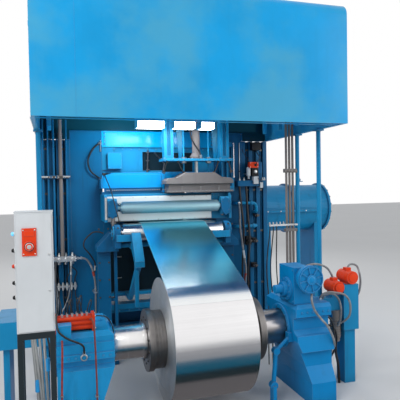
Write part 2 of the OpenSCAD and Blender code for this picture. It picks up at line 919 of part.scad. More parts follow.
module side_unit() {
    color(blue) {
        block([unit_x, unit_y - unit_d / 2, unit_foot],
            [unit_x + unit_w, unit_y + unit_d / 2, unit_high]);
        block([unit_x + 40, unit_y - unit_d / 2 + 50, 0],
            [unit_x + unit_w - 40, unit_y + unit_d / 2 - 50, unit_foot + eps]);
        block([support_in + support_w, unit_y - ledge_d / 2, ledge_low],
            [unit_x + eps, unit_y + ledge_d / 2, ledge_high - 60]);
        block([unit_x - ledge_w, unit_y - ledge_d / 2, ledge_high - 60 - eps],
            [unit_x + eps, unit_y + ledge_d / 2, ledge_high]);
    }
    color(steel) rod_x(unit_x - ledge_w, unit_x + eps, unit_y, ledge_low - 85, 160);
}

// A motor that lies along Y on its foot, over x at the height z
module motor(x, z, y0, y1) {
    rod_y(x, y0, y1, z + motor_d / 2 + 10, motor_d);
    block([x - motor_foot / 2, y0 + 80, z], [x + motor_foot / 2, y1 - 40, z + motor_d / 2]);
}

module side_motors() {
    color(orange) {
        motor(unit_x - ledge_w / 2 - 20, ledge_high, unit_y - 190, unit_y + 110);
        motor(unit_x + unit_w / 2 + 10, unit_high, unit_y - 200, unit_y + 120);
    }
}

// Hood: one shell, rounded at its top front edge and cut into its panels
module hood_solid(grow, low, back) {
    x = hood_half + grow;
    y0 = -housing_half - hood_len - grow;
    r = hood_r + grow;
    top = hood_top + grow;
    along_x(-x, 2 * x) union() {
        translate([y0, low]) square([back - y0, top - r - low]);
        translate([y0 + r, low]) square([back - y0 - r, top - low]);
        translate([y0 + r, top - r]) circle(r = r);
    }
}

module hood_shell() {
    difference() {
        hood_solid(0, hood_bottom, -housing_half);
        hood_solid(-hood_wall, hood_bottom - 10, -housing_half + 10);
    }
}

front_cut = -housing_half - hood_len + hood_r;

module hood_front() {
    color(sky_blue) intersection() {
        hood_shell();
        block([-3000, -9000, 0], [3000, front_cut, 9000]);
    }
}

module hood_side() {
    intersection() {
        hood_shell();
        block([hood_half - hood_r, front_cut, 0], [3000, 0, 9000]);
    }
}

module hood_left() {
    color(sky_blue) mirror([1, 0, 0]) hood_side();
}

module hood_right() {
    color(sky_blue) hood_side();
}

rear_low = entry_beam_high - 20;
rear_x = hood_half - hood_r;

module hood_rear() {
    color(sky_blue) intersection() {
        hood_solid(-hood_wall, hood_bottom, -housing_half);
        union() {
            block([-hood_half, -housing_half - hood_wall, rear_low],
                [hood_half, -housing_half, hood_top]);
            both_sides() block([housing_out, -housing_half - hood_wall, hood_bottom],
                [hood_half, -housing_half, rear_low + eps]);
        }
    }
}

outlet_w = 1100;
outlet_d = 800;
outlet_h = 260;
outlet_y = -housing_half - hood_len / 2;
outlet_bolt_dx = outlet_w + 60;
outlet_bolt_dy = outlet_d + 60;

module hood_roof() {
    color(sky_blue) difference() {
        union() {
            block([-rear_x, front_cut, hood_top - hood_wall], [rear_x, -housing_half, hood_top]);
            block([-outlet_w / 2, outlet_y - outlet_d / 2, hood_top - eps],
                [outlet_w / 2, outlet_y + outlet_d / 2, hood_top + outlet_h]);
            block([-outlet_w / 2 - 60, outlet_y - outlet_d / 2 - 60, hood_top + outlet_h - 20],
                [outlet_w / 2 + 60, outlet_y + outlet_d / 2 + 60, hood_top + outlet_h]);
        }
        block([-outlet_w / 2 + 20, outlet_y - outlet_d / 2 + 20, hood_top - hood_wall - 1],
            [outlet_w / 2 - 20, outlet_y + outlet_d / 2 - 20, hood_top + outlet_h + 1]);
        for (sx = [-1, 1]) {
            for (sy = [-1, 1]) {
                rod_z(sx * outlet_bolt_dx / 2, outlet_y + sy * outlet_bolt_dy / 2,
                    hood_top + outlet_h - 21, hood_top + outlet_h + 1, 22);
            }
        }
    }
}

post_d = 76;
post_x = hood_half - hood_wall / 2 - 20;
post_far_y = -housing_half - hood_len / 2 + 50;
post_near_y = post_far_y - 750;
post_plate = 140;
post_plate_t = 25;

module hood_posts() {
    color(blue) {
        for (p = [[post_x, post_near_y], [post_x, post_far_y], [-post_x, post_far_y]]) {
            rod_z(p[0], p[1], 0, hood_bottom, post_d);
            for (z = [0, hood_bottom - post_plate_t]) {
                block([p[0] - post_plate / 2, p[1] - post_plate / 2, z],
                    [p[0] + post_plate / 2, p[1] + post_plate / 2, z + post_plate_t]);
            }
        }
    }
}

lamp_y = -2450;
lamp_rail_z = 4520;

module lamp_rail() {
    inner = hood_half - hood_wall;
    color(grey) block([-inner, lamp_y - 30, lamp_rail_z], [inner, lamp_y + 30, lamp_rail_z + 60]);
}

// Middle and width of each lamp under the rail
lamps = [[-455, 460], [140, 370], [560, 240]];
lamp_half = 110;
lamp_h = 190;

module hood_lamps() {
    color([0.95, 0.97, 1.0]) for (lamp = lamps) {
        block([lamp[0] - lamp[1] / 2, lamp_y - lamp_half, lamp_rail_z - lamp_h],
            [lamp[0] + lamp[1] / 2, lamp_y + lamp_half, lamp_rail_z]);
    }
}

// Pipes, manifold and hoses beside the left housing
pipe_y = -housing_half - 150;
pipe_top = hood_bottom + 350;
left_rack_x = -hood_half + 35;
left_pipe_x = [for (dx = [50, 140, 240, 365, 470]) left_rack_x + dx];
left_pipe_d = [42, 34, 42, 70, 34];
left_clamp_w = 520;
clamp_z = 3500;
clamp_h = 60;
manifold_low = 1950;
manifold_high = 2050;
manifold_w = 600;
fitting_pitch = 120;
fitting_d = 60;
fitting_h = 60;
hose_d = 44;

module left_pipes() {
    color(grey) for (i = [0 : len(left_pipe_x) - 1]) {
        rod_z(left_pipe_x[i], pipe_y, manifold_high, pipe_top, left_pipe_d[i]);
    }
    color(steel) block([left_rack_x, pipe_y - 45, clamp_z],
        [left_rack_x + left_clamp_w, -housing_half, clamp_z + clamp_h]);
}

function fitting_x(i) = left_rack_x + fitting_pitch * (i + 0.5);

module manifold() {
    middle = left_rack_x + manifold_w / 2;
    color(steel) {
        block([left_rack_x, pipe_y - 80, manifold_low],
            [left_rack_x + manifold_w, pipe_y + 80, manifold_high]);
        block([middle - 100, pipe_y + 80 - eps, manifold_low + 20],
            [middle + 100, -housing_half, manifold_high - 20]);
        for (i = [0 : 4]) {
            rod_z(fitting_x(i), pipe_y, manifold_low - fitting_h, manifold_low + eps, fitting_d);
        }
    }
}

// A hose from x down to a height low, that sways by [dx, dy] at the heights between
module drop_hose(x, high, low, sway, d) {
    last = sway[len(sway) - 1];
    hose(concat([[x, pipe_y, high]], [for (p = sway) [x + p[0], pipe_y + p[1], p[2]]],
        [[x + last[0], pipe_y + last[1], low]]), d);
}

module left_hoses() {
    high = manifold_low - fitting_h;
    color(dark_steel) {
        drop_hose(fitting_x(4), high, foot_h, [[0, -10, high - 120], [100, -60, high - 290],
            [160, -60, 1350], [140, 40, 1000], [130, 60, 600]], hose_d);
        drop_hose(fitting_x(2), high, 0, [[0, -10, high - 130], [-120, -60, 1450],
            [-180, -60, 1100], [-180, 20, 600]], hose_d);
        drop_hose(fitting_x(0), high, 0, [[0, 0, high - 130], [-30, -30, 1300], [-40, 0, 700]],
            hose_d - 8);
    }
}

// Pipe rack, valve block and hoses at the right
rack_y = post_far_y;
rack_d = 45;
rack_pitch = 65;
rack_gap = 8;
rack_x = [for (i = [2 : -1 : 0])
    post_x - post_plate / 2 - rack_d / 2 - rack_gap - i * rack_pitch];

module right_pipes() {
    color(grey) for (x = rack_x) {
        rod_z(x, rack_y, 0, pipe_top, rack_d);
    }
    color(steel) for (z = [1500, 2450, clamp_z + clamp_h]) {
        block([rack_x[0] - rack_d, rack_y - 40, z],
            [post_x - post_d / 2, rack_y + 40, z + clamp_h - 10]);
    }
}

valve_x = housing_out - 170;
valve_low = 3300;
valve_base_h = 120;
valve_body_x = housing_out + 130;
valve_high = 3800;

module valve_block() {
    color(steel) {
        block([valve_x, -housing_half - 210, valve_low],
            [frame_out - 120, -housing_half, valve_low + valve_base_h]);
        block([valve_body_x, -housing_half - 160, valve_low + valve_base_h - eps],
            [frame_out - 180, -housing_half, valve_high]);
    }
    color(orange) block([valve_body_x + 30, -housing_half - 230, valve_low + 260],
        [frame_out - 220, -housing_half - 160 + eps, valve_low + 400]);
}

module right_hoses() {
    color(dark_steel) {
        drop_hose(valve_x + 50, valve_low, foot_h, [[20, -40, 2900], [60, -60, 2400],
            [40, -30, 1800], [40, 0, 1200]], hose_d);
        drop_hose(valve_x + 200, valve_low, 0, [[10, -40, 2800], [40, -60, 2200],
            [10, -30, 1600], [10, 0, 900]], hose_d);
    }
}

// Control box on its own stand
module control_cabinet() {
    color([0.80, 0.83, 0.85]) block([cabinet_x - cabinet_w / 2, cabinet_y, cabinet_z],
        [cabinet_x + cabinet_w / 2, cabinet_y + cabinet_d, cabinet_z + cabinet_h]);
}

panel_plate_t = 25;
panel_w = 145;
button_d = 75;

module button_panel() {
    x = cabinet_x - 120;
    color(orange) block([x, cabinet_y - panel_plate_t, cabinet_z + 830],
        [x + panel_w, cabinet_y, cabinet_z + 1125]);
    color(grey) rod_y(x + panel_w / 2, cabinet_y - panel_plate_t - 40,
        cabinet_y - panel_plate_t + eps, cabinet_z + 930, button_d);
}

leg_w = 60;

module cabinet_stand() {
    color([0.16, 0.20, 0.22]) {
        for (x = [cabinet_x - cabinet_w / 2, cabinet_x + cabinet_w / 2 - leg_w]) {
            for (y = [cabinet_y, cabinet_y + cabinet_d - leg_w]) {
                block([x, y, 0], [x + leg_w, y + leg_w, cabinet_z]);
            }
            block([x, cabinet_y + leg_w - eps, 300],
                [x + leg_w, cabinet_y + cabinet_d - leg_w + eps, 350]);
        }
        for (y = [cabinet_y, cabinet_y + cabinet_d - leg_w]) {
            block([cabinet_x - cabinet_w / 2 + leg_w - eps, y, cabinet_z - 70],
                [cabinet_x + cabinet_w / 2 - leg_w + eps, y + leg_w, cabinet_z]);
        }
    }
}

// Guard over the drive spindles
guard_d = 1100;
guard_z = pass_z + 85;
guard_start = housing_out + 40;
guard_end = guard_start + 2480;
guard_ring_w = 50;
guard_ring_x = [guard_start + 700, guard_start + 1500, guard_end - guard_ring_w - 10];
saddle_half = 520;
saddle_w = 160;

module drive_guard() {
    color(blue) {
        rod_x(housing_out, guard_start, 0, guard_z, 2 * window_half + 70, $fn = 128);
        rod_x(guard_start - eps, guard_end, 0, guard_z, guard_d, $fn = 128);
        for (x = guard_ring_x) {
            rod_x(x, x + guard_ring_w, 0, guard_z, guard_d + 90, $fn = 128);
        }
    }
}

module guard_saddles() {
    color(blue) for (x = [guard_start + 800, guard_end - 380]) {
        difference() {
            along_x(x, saddle_w) polygon([
                [-saddle_half, 0], [saddle_half, 0], [saddle_half, 80],
                [saddle_half - 90, 120], [saddle_half - 90, guard_z - 320],
                [-saddle_half + 90, guard_z - 320], [-saddle_half + 90, 120],
                [-saddle_half, 80]]);
            rod_x(x - 1, x + saddle_w + 1, 0, guard_z, guard_d + 2 * seat_gap, $fn = 128);
        }
    }
}

left_housing();
right_housing();
separator_beams();
entry_upper_beam();
lower_entry_beam();
window_panel();
inner_guards();
left_service_frame();
right_service_frame();
backup_rolls();
work_rolls();
backup_chocks();
work_chocks();
capsule_cylinders();
entry_guard_box();
guide_side_plates();
guide_beam();
wiper_bars();
guide_end_block();
guide_bearings();
guide_roll();
wiper_cover();
lift_frame();
lift_cylinder();
right_guide_column();
deflector_roll();
deflector_brackets();
swing_arm();
strip();
coil();
reel_mandrel();
reel_gearbox();
reel_drive_base();
brake_unit();
outboard_support();
outboard_head();
side_unit();
side_motors();
hood_front();
hood_left();
hood_right();
hood_rear();
hood_roof();
hood_posts();
lamp_rail();
hood_lamps();
left_pipes();
right_pipes();
manifold();
left_hoses();
right_hoses();
valve_block();
control_cabinet();
cabinet_stand();
button_panel();
drive_guard();
guard_saddles();
exit_roll();
exit_brackets();
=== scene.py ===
"""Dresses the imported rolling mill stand: paint, metal and rubber on the frame's own parts,
and the small pieces that a drawing leaves out, such as bolts, covers, hoses and seams.

Every length is in metres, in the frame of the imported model: X runs across the strip, -Y
points to the tension reel and Z is up from the floor.
"""
import math
import random

import bpy
from mathutils import Matrix, Vector


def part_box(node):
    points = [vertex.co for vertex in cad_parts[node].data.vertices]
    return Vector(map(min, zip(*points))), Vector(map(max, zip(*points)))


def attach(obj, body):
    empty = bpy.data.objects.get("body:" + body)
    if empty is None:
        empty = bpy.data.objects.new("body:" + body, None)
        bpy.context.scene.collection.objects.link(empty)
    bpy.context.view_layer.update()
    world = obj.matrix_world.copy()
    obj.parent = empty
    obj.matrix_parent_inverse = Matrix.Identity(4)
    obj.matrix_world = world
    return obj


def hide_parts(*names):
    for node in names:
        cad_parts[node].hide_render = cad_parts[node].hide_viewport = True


bl_info = {
    "name": "Rolling mill stand",
    "version": (1, 0, 0),
    "blender": (4, 5, 0),
    "location": "View3D > Sidebar > Mill",
    "description": "Paint, metal and fittings for a four-high rolling mill stand",
    "category": "Object",
}

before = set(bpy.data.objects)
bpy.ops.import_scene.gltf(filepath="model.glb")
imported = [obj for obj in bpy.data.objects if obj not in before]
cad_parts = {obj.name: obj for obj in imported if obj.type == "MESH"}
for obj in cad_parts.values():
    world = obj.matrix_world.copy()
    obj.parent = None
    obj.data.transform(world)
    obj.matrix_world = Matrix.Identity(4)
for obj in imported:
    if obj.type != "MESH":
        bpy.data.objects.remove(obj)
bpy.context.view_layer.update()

X, Y, Z = Vector((1, 0, 0)), Vector((0, 1, 0)), Vector((0, 0, 1))


# Settings


def length_property(name, description, default):
    return bpy.props.FloatProperty(
        name=name, description=description, default=default, min=0.005, unit="LENGTH")


def colour_property(name, description, default):
    return bpy.props.FloatVectorProperty(
        name=name, description=description, default=default,
        min=0.0, max=1.0, size=3, subtype="COLOR")


class MillSizes(bpy.types.PropertyGroup):
    """Sizes of the fittings"""

    bolt: length_property("Bolt", "Width of a large hexagon head", 0.046)
    small_bolt: length_property("Small bolt", "Width of a small hexagon head", 0.026)
    seam: length_property("Seam", "Width of a joint strip on the hood", 0.04)


class MillColours(bpy.types.PropertyGroup):
    """Colours of the finishes"""

    hood: colour_property("Hood", "Sky blue paint of the hood", (0.0, 0.37, 0.78))
    housing: colour_property("Housing", "Deep blue paint of the housings", (0.003, 0.13, 0.3))
    machine: colour_property("Machine", "Blue paint of the smaller parts", (0.008, 0.26, 0.52))
    azure: colour_property("Azure", "Bright blue paint of the gearbox", (0.008, 0.36, 0.76))
    orange: colour_property("Orange", "Paint of the brake and motors", (0.86, 0.06, 0.012))
    cabinet: colour_property("Control box", "Light grey powder coat", (0.7, 0.73, 0.75))
    pipe: colour_property("Pipes", "Grey brown paint of the pipes", (0.21, 0.19, 0.18))
    cover: colour_property("Cover", "Worn grey paint of the cover", (0.17, 0.16, 0.16))
    floor: colour_property("Floor", "Pale studio floor", (0.8, 0.8, 0.8))


def sizes():
    return bpy.context.scene.mill_sizes


def colours():
    return bpy.context.scene.mill_colours


# Mesh tools


def directions(axis, side, count, start=0.0):
    """Unit vectors round an axis, spaced evenly from one side of it."""
    other = axis.cross(side)
    return [side * math.cos(a) + other * math.sin(a)
            for a in (start + math.tau * k / count for k in range(count))]


def tube_faces(rows, sides, ring=False):
    """Faces between rows of points round a tube; only a ring has no end faces."""
    faces = [[i * sides + k, i * sides + (k + 1) % sides,
              (i + 1) % rows * sides + (k + 1) % sides, (i + 1) % rows * sides + k]
             for i in range(rows if ring else rows - 1) for k in range(sides)]
    if not ring:
        faces.append(list(range(sides))[::-1])
        faces.append([(rows - 1) * sides + k for k in range(sides)])
    return faces


class Parts:
    """Gathers faces for one piece, each with the number of its material."""

    def __init__(self):
        self.points, self.faces, self.slots = [], [], []

    def add(self, points, faces, slot=0):
        start = len(self.points)
        self.points += [tuple(p) for p in points]
        self.faces += [[start + i for i in face] for face in faces]
        self.slots += [slot] * len(faces)

    def prism(self, axis, outline, low, high, slot=0):
        """A flat outline, given in the other two axes in order, carried along an axis."""
        n = len(outline)
        area = sum(a[0] * b[1] - b[0] * a[1] for a, b in zip(outline, outline[1:] + outline[:1]))
        if (area < 0) != (axis == "Y"):
            outline = outline[::-1]
        points = [{"X": (w, u, v), "Y": (u, w, v), "Z": (u, v, w)}[axis]
                  for w in (low, high) for u, v in outline]
        sides = [[i, (i + 1) % n, n + (i + 1) % n, n + i] for i in range(n)]
        self.add(points, sides + [list(range(n))[::-1], list(range(n, 2 * n))], slot)

    def box(self, corner, other, slot=0):
        """A block between any two opposite corners."""
        (x0, x1), (y0, y1), (z0, z1) = (sorted(pair) for pair in zip(corner, other))
        self.prism("Z", [(x0, y0), (x1, y0), (x1, y1), (x0, y1)], z0, z1, slot)

    def turned(self, origin, axis, profile, sides=32, slot=0, ring=False):
        """A turned shape about an axis through origin, from (radius, distance) pairs.

        A ring is open in the middle: its last pair joins its first."""
        axis, origin = Vector(axis).normalized(), Vector(origin)
        around = directions(axis, axis.orthogonal().normalized(), sides)
        points = [origin + axis * h + way * r for r, h in profile for way in around]
        self.add(points, tube_faces(len(profile), sides, ring), slot)

    def ring(self, origin, axis, inner, outer, length, sides, slot=0):
        """A plain ring of rectangular section."""
        profile = [(inner, 0), (outer, 0), (outer, length), (inner, length)]
        self.turned(origin, axis, profile, sides, slot, ring=True)

    def union(self, at, axis, radius, stem, ends, slot=0):
        """A hexagon collar with a thinner stem: where the collar ends, and the stem's ends."""
        end, start, tip = ends
        self.turned(at, axis, [(radius, 0), (radius, end), (stem, start), (stem, tip)], 6, slot)

    def rod(self, start, end, radius, sides=24, slot=0):
        """A round bar from start to end, with a small edge at both ends."""
        start, end = Vector(start), Vector(end)
        h = (end - start).length
        e = min(radius * 0.08, h * 0.3)
        profile = [(radius - e, 0), (radius, e), (radius, h - e), (radius - e, h)]
        self.turned(start, end - start, profile, sides, slot)

    def bolt(self, at, axis, width, slot=0):
        """A hexagon head on its washer."""
        axis, at, washer = Vector(axis).normalized(), Vector(at), width * 0.07
        self.turned(at, axis, [(width * 0.62, 0), (width * 0.62, washer)], 14, slot)
        self.turned(at + axis * width * 0.07, axis,
                    [(width * 0.56, 0), (width * 0.56, width * 0.34), (width * 0.48, width * 0.42)],
                    6, slot)

    def bolts(self, places, axis, width, slot=0):
        for at in places:
            self.bolt(at, axis, width, slot)

    def hose(self, points, radius, sides=12, steps=8, slot=0):
        """A round tube along the smooth curve through the points."""
        self.sweep(smooth_line([Vector(p) for p in points], steps), radius, sides, slot)

    def pipe(self, points, radius, bend, sides=16, slot=0):
        """A pipe with straight runs and round bends."""
        self.sweep(bent_line([Vector(p) for p in points], bend), radius, sides, slot)

    def sweep(self, line, radius, sides, slot=0):
        points, side = [], None
        for i, p in enumerate(line):
            way = (line[min(i + 1, len(line) - 1)] - line[max(i - 1, 0)]).normalized()
            side = way.orthogonal() if side is None else side - way * side.dot(way)
            side.normalize()
            points += [p + out * radius for out in directions(way, side, sides)]
        self.add(points, tube_faces(len(line), sides), slot)

    def piece(self, name, slot_name, *finishes, body="stand", edge=0.0, smooth=35):
        """The finished object, riding on its body; without finishes it has its slot's usual one."""
        mesh = bpy.data.meshes.new(name)
        mesh.from_pydata(self.points, [], self.faces)
        for finish in finishes or (USUAL_FINISH[slot_name],):
            mesh.materials.append(bpy.data.materials[finish])
        mesh.polygons.foreach_set("material_index", self.slots)
        mesh.polygons.foreach_set("use_smooth", [True] * len(self.faces))
        mesh.update()
        mesh.set_sharp_from_angle(angle=math.radians(smooth))
        piece = bpy.data.objects.new(name, mesh)
        bpy.context.scene.collection.objects.link(piece)
        if edge:
            round_edges(piece, edge, 40)
        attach(piece, body)
        return piece


def round_edges(part, width, angle):
    """Rounds the edges of a part that are sharper than an angle in degrees."""
    rounding = part.modifiers.new("Rounding", "BEVEL")
    rounding.width = width
    rounding.segments = 2
    rounding.limit_method = "ANGLE"
    rounding.angle_limit = math.radians(angle)
    rounding.harden_normals = True


def smooth_line(points, steps):
    """Points on a smooth curve through the given ones."""
    line = []
    for i in range(len(points) - 1):
        a, b = points[max(i - 1, 0)], points[i]
        c, d = points[i + 1], points[min(i + 2, len(points) - 1)]
        for s in range(steps):
            t = s / steps
            line.append(0.5 * (2 * b + (c - a) * t + (2 * a - 5 * b + 4 * c - d) * t * t
                               + (3 * b - a - 3 * c + d) * t ** 3))
    return line + [points[-1]]


def bent_line(points, bend):
    """Straight runs between the points, with each corner rounded."""
    line = [points[0]]
    for a, b, c in zip(points, points[1:], points[2:]):
        r = min(bend, (a - b).length * 0.5, (c - b).length * 0.5)
        start, end = b + (a - b).normalized() * r, b + (c - b).normalized() * r
        line += [start.lerp(b, t).lerp(b.lerp(end, t), t) for t in (k / 6 for k in range(7))]
    return line + [points[-1]]


def spaced(low, high, count):
    return [low + (high - low) * i / (count - 1) for i in range(count)]


def grid(*places):
    """Every mix of the given x, y and z, each of them one number or a list."""
    xs, ys, zs = ([v] if isinstance(v, (int, float)) else v for v in places)
    return [(x, y, z) for x in xs for y in ys for z in zs]


def on(y, *pairs):
    """Places in the plane at y, from their x and z."""
    return [(x, y, z) for x, z in pairs]


def round_places(centre, axis, radius, count, start=0.0):
    """Places on a circle about an axis."""
    side = axis.orthogonal().normalized()
    return [Vector(centre) + way * radius for way in directions(axis, side, count, start)]


def middle(node):
    """The middle of a node's box."""
    low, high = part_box(node)
    return (low.x + high.x) / 2, (low.y + high.y) / 2, (low.z + high.z) / 2


# Shader tools

# Where the Mix node has its factor, its two colours and its mixed colour
MIX_FACTOR, MIX_A, MIX_B, MIX_RESULT = 0, 6, 7, 2


class Tree:
    """A node tree, with short ways to add the nodes that the finishes use."""

    def __init__(self, tree):
        self.nodes, self.links = tree.nodes, tree.links

    def put(self, target, value):
        """Gives a socket a number, a colour or the value of another socket."""
        if isinstance(value, bpy.types.NodeSocket):
            self.links.new(value, target)
        elif value is not None:
            target.default_value = (*value, 1.0) if target.type == "RGBA" else value

    def fill(self, node, values):
        for name, value in values.items():
            self.put(node.inputs[name], value)

    def add(self, kind, *values, **settings):
        """A node with its settings, and values for its first inputs in order."""
        node = self.nodes.new("ShaderNode" + kind)
        for name, value in settings.items():
            setattr(node, name, value)
        for target, value in zip(node.inputs, values):
            self.put(target, value)
        return node

    def math(self, operation, a, b=None, clamp=False):
        return self.add("Math", a, b, operation=operation, use_clamp=clamp).outputs[0]

    def plus(self, a, b, clamp=False):
        return self.math("ADD", a, b, clamp)

    def minus(self, a, b):
        return self.math("SUBTRACT", a, b)

    def times(self, a, b, clamp=False):
        return self.math("MULTIPLY", a, b, clamp)

    def place(self, coordinate="Object"):
        return self.add("TexCoord").outputs[coordinate]

    def noise(self, vector, scale, detail=3.0, rough=0.55):
        node = self.add("TexNoise")
        self.fill(node, {"Vector": vector, "Scale": scale, "Detail": detail, "Roughness": rough})
        return node.outputs["Fac"]

    def ramp(self, value, low, high):
        """Value from 0 at low to 1 at high."""
        return self.add("MapRange", value, low, high,
                        interpolation_type="SMOOTHSTEP").outputs["Result"]

    def mixed(self, factor, a, b):
        """The mix of two colours; each may be a socket or a plain colour."""
        node = self.add("Mix", data_type="RGBA")
        for place, value in ((MIX_FACTOR, factor), (MIX_A, a), (MIX_B, b)):
            self.put(node.inputs[place], value)
        return node.outputs[MIX_RESULT]

    def scaled(self, vector, scale):
        node = self.add("VectorMath", vector, operation="SCALE")
        self.put(node.inputs["Scale"], scale)
        return node.outputs["Vector"]

    def group(self, name, values):
        """A group of this file, with its values; the outputs are named."""
        node = self.add("Group", node_tree=bpy.data.node_groups[name])
        self.fill(node, values)
        return node.outputs

    def bump(self, shader, height, strength, distance):
        node = self.add("Bump")
        self.fill(node, {"Strength": strength, "Distance": distance, "Height": height})
        self.put(shader.inputs["Normal"], node.outputs["Normal"])


def new_group(name, given, made):
    """An empty group: its tree, its inputs with their values, and its named outputs."""
    group = bpy.data.node_groups.new(name, "ShaderNodeTree")
    for label, value in given.items():
        kind = "NodeSocketFloat" if isinstance(value, float) else "NodeSocketColor"
        group.interface.new_socket(label, in_out="INPUT", socket_type=kind).default_value = value
    for label in made:
        kind = "NodeSocketColor" if label == "Colour" else "NodeSocketFloat"
        group.interface.new_socket(label, in_out="OUTPUT", socket_type=kind)
    return Tree(group), group.nodes.new("NodeGroupInput").outputs, group.nodes.new("NodeGroupOutput")


def paint_skin_group():
    """Old machine paint: slow colour changes, run marks, painted shade in crevices and corners, dust on
    top, and worn edges.
    """
    tree, given, out = new_group(
        "Paint skin",
        {"Colour": (0.0, 0.3, 0.6, 1.0), "Grime and shade": 0.4, "Wear": 0.4, "Dust": 0.2, "Gloss": 0.3},
        ("Colour", "Roughness", "Bare", "Height"))
    place, facing = tree.place(), tree.add("NewGeometry").outputs["Normal"]
    slow = tree.noise(place, 1.3, 4.0)
    stretched = tree.add("Mapping", place)
    tree.fill(stretched, {"Scale": (7.0, 7.0, 0.7)})
    runs = tree.noise(stretched.outputs["Vector"], 1.0, 5.0, 0.65)
    fine = tree.noise(place, 46.0)

    # Painted shade: ambient occlusion darkens the paint in crevices and corners; it is mixed with the run
    # marks, which are real grime.
    crevice = tree.add("AmbientOcclusion", samples=6)
    tree.fill(crevice, {"Distance": 0.22})
    corner = tree.times(tree.minus(1.0, crevice.outputs["AO"]), tree.plus(0.55, runs))
    marks = tree.times(tree.ramp(runs, 0.5, 0.78), 0.55)
    grime_and_shade = tree.times(tree.math("MAXIMUM", corner, marks), given["Grime and shade"], clamp=True)

    soft = tree.add("Bevel", 0.014, samples=4).outputs["Normal"]
    across = tree.add("VectorMath", soft, facing, operation="DOT_PRODUCT").outputs["Value"]
    rim = tree.times(tree.minus(1.0, across), tree.plus(fine, slow))
    bare = tree.times(tree.ramp(rim, 0.07, 0.16), given["Wear"], clamp=True)

    top = tree.ramp(tree.add("SeparateXYZ", facing).outputs["Z"], 0.35, 0.95)
    dust = tree.times(tree.times(top, tree.ramp(slow, 0.3, 0.7)), given["Dust"], clamp=True)

    shaded = tree.scaled(given["Colour"], tree.plus(0.8, tree.times(slow, 0.4)))
    # The dark colour is painted shade where the occlusion darkens the paint, and real grime in the run
    # marks.
    colour = tree.mixed(grime_and_shade, shaded, (0.016, 0.022, 0.028))
    colour = tree.mixed(dust, colour, (0.42, 0.42, 0.4))
    rough = tree.plus(given["Gloss"], tree.times(fine, 0.14))
    rough = tree.plus(rough, tree.times(grime_and_shade, 0.35))
    tree.fill(out, {"Colour": tree.mixed(bare, colour, (0.36, 0.37, 0.38)),
                    "Roughness": tree.plus(rough, tree.times(dust, 0.4), clamp=True),
                    "Bare": bare,
                    "Height": tree.minus(tree.times(fine, 0.25), bare)})


def metal_grain_group():
    """Fine lines from rolling, turning or grinding, with a slow change of tone."""
    tree, given, out = new_group(
        "Metal grain",
        {"Colour": (0.7, 0.7, 0.7, 1.0), "Along X": 200.0, "Along Y": 2.0, "Along Z": 2.0,
         "Gloss": 0.25, "Lines": 0.2, "Stain": 0.2},
        ("Colour", "Roughness", "Height"))
    place = tree.place()
    way = tree.add("CombineXYZ", *(given[f"Along {axis}"] for axis in "XYZ")).outputs[0]
    drawn = tree.add("VectorMath", place, way, operation="MULTIPLY").outputs[0]
    lines = tree.noise(drawn, 1.0, 4.0, 0.7)
    broad = tree.noise(tree.scaled(drawn, 0.07), 1.0, 2.0)
    slow = tree.noise(place, 3.0, 4.0)

    streak = tree.plus(tree.times(lines, 0.6), tree.times(broad, 0.4))
    tone = tree.minus(1.0, tree.times(given["Lines"], tree.minus(1.0, streak)))
    stain = tree.times(given["Stain"], tree.ramp(slow, 0.45, 0.75), clamp=True)
    shaded = tree.scaled(given["Colour"], tone)
    rough = tree.plus(given["Gloss"], tree.times(given["Lines"], streak))
    tree.fill(out, {"Colour": tree.mixed(stain, shaded, (0.1, 0.09, 0.08)),
                    "Roughness": tree.plus(rough, tree.times(stain, 0.4), clamp=True),
                    "Height": lines})


def band_mask_group():
    """A mask that is 1 inside a band of a value and fades to 0 at its edges."""
    tree, given, out = new_group(
        "Band mask", {"Value": 0.0, "Centre": 0.0, "Half width": 1.0, "Softness": 0.1}, ("Mask",))
    away = tree.math("ABSOLUTE", tree.minus(given["Value"], given["Centre"]), 0.0)
    inside = tree.math("DIVIDE", tree.minus(given["Half width"], away), given["Softness"])
    tree.fill(out, {"Mask": tree.plus(inside, 0.5, clamp=True)})


def new_material(name):
    material = bpy.data.materials.new(name)
    material.use_nodes = True
    tree = Tree(material.node_tree)
    return material, tree, tree.nodes["Principled BSDF"]


def paint(name, colour, gloss=0.34, grime_and_shade=0.45, wear=0.35, dust=0.1, coat=0.08):
    _, tree, shader = new_material(name)
    skin = tree.group("Paint skin", {
        "Colour": colour, "Grime and shade": grime_and_shade, "Wear": wear, "Dust": dust, "Gloss": gloss})
    tree.fill(shader, {
        "Base Color": skin["Colour"], "Roughness": skin["Roughness"], "Metallic": skin["Bare"],
        "Specular IOR Level": 0.16, "Coat Weight": coat, "Coat Roughness": 0.15})
    tree.bump(shader, skin["Height"], 0.25, 0.002)


def metal(name, colour, along, gloss, lines, stain, bump=0.08, metallic=1.0):
    """Bare metal: along says how fine its grain is along X and across it."""
    _, tree, shader = new_material(name)
    grain = tree.group("Metal grain", {
        "Colour": colour, "Along X": along[0], "Along Y": along[1], "Along Z": along[1],
        "Gloss": gloss, "Lines": lines, "Stain": stain})
    tree.fill(shader, {"Base Color": grain["Colour"], "Roughness": grain["Roughness"],
                       "Metallic": metallic})
    tree.bump(shader, grain["Height"], bump, 0.001)


def rubber(name, colour):
    _, tree, shader = new_material(name)
    place = tree.place()
    worn = tree.ramp(tree.noise(place, 9.0, 4.0), 0.45, 0.75)
    pale = tuple(c * 1.9 + 0.02 for c in colour)
    tree.fill(shader, {"Base Color": tree.mixed(worn, colour, pale),
                       "Roughness": tree.plus(0.42, tree.times(worn, 0.25))})
    tree.bump(shader, tree.noise(place, 190.0, 2.0), 0.3, 0.001)


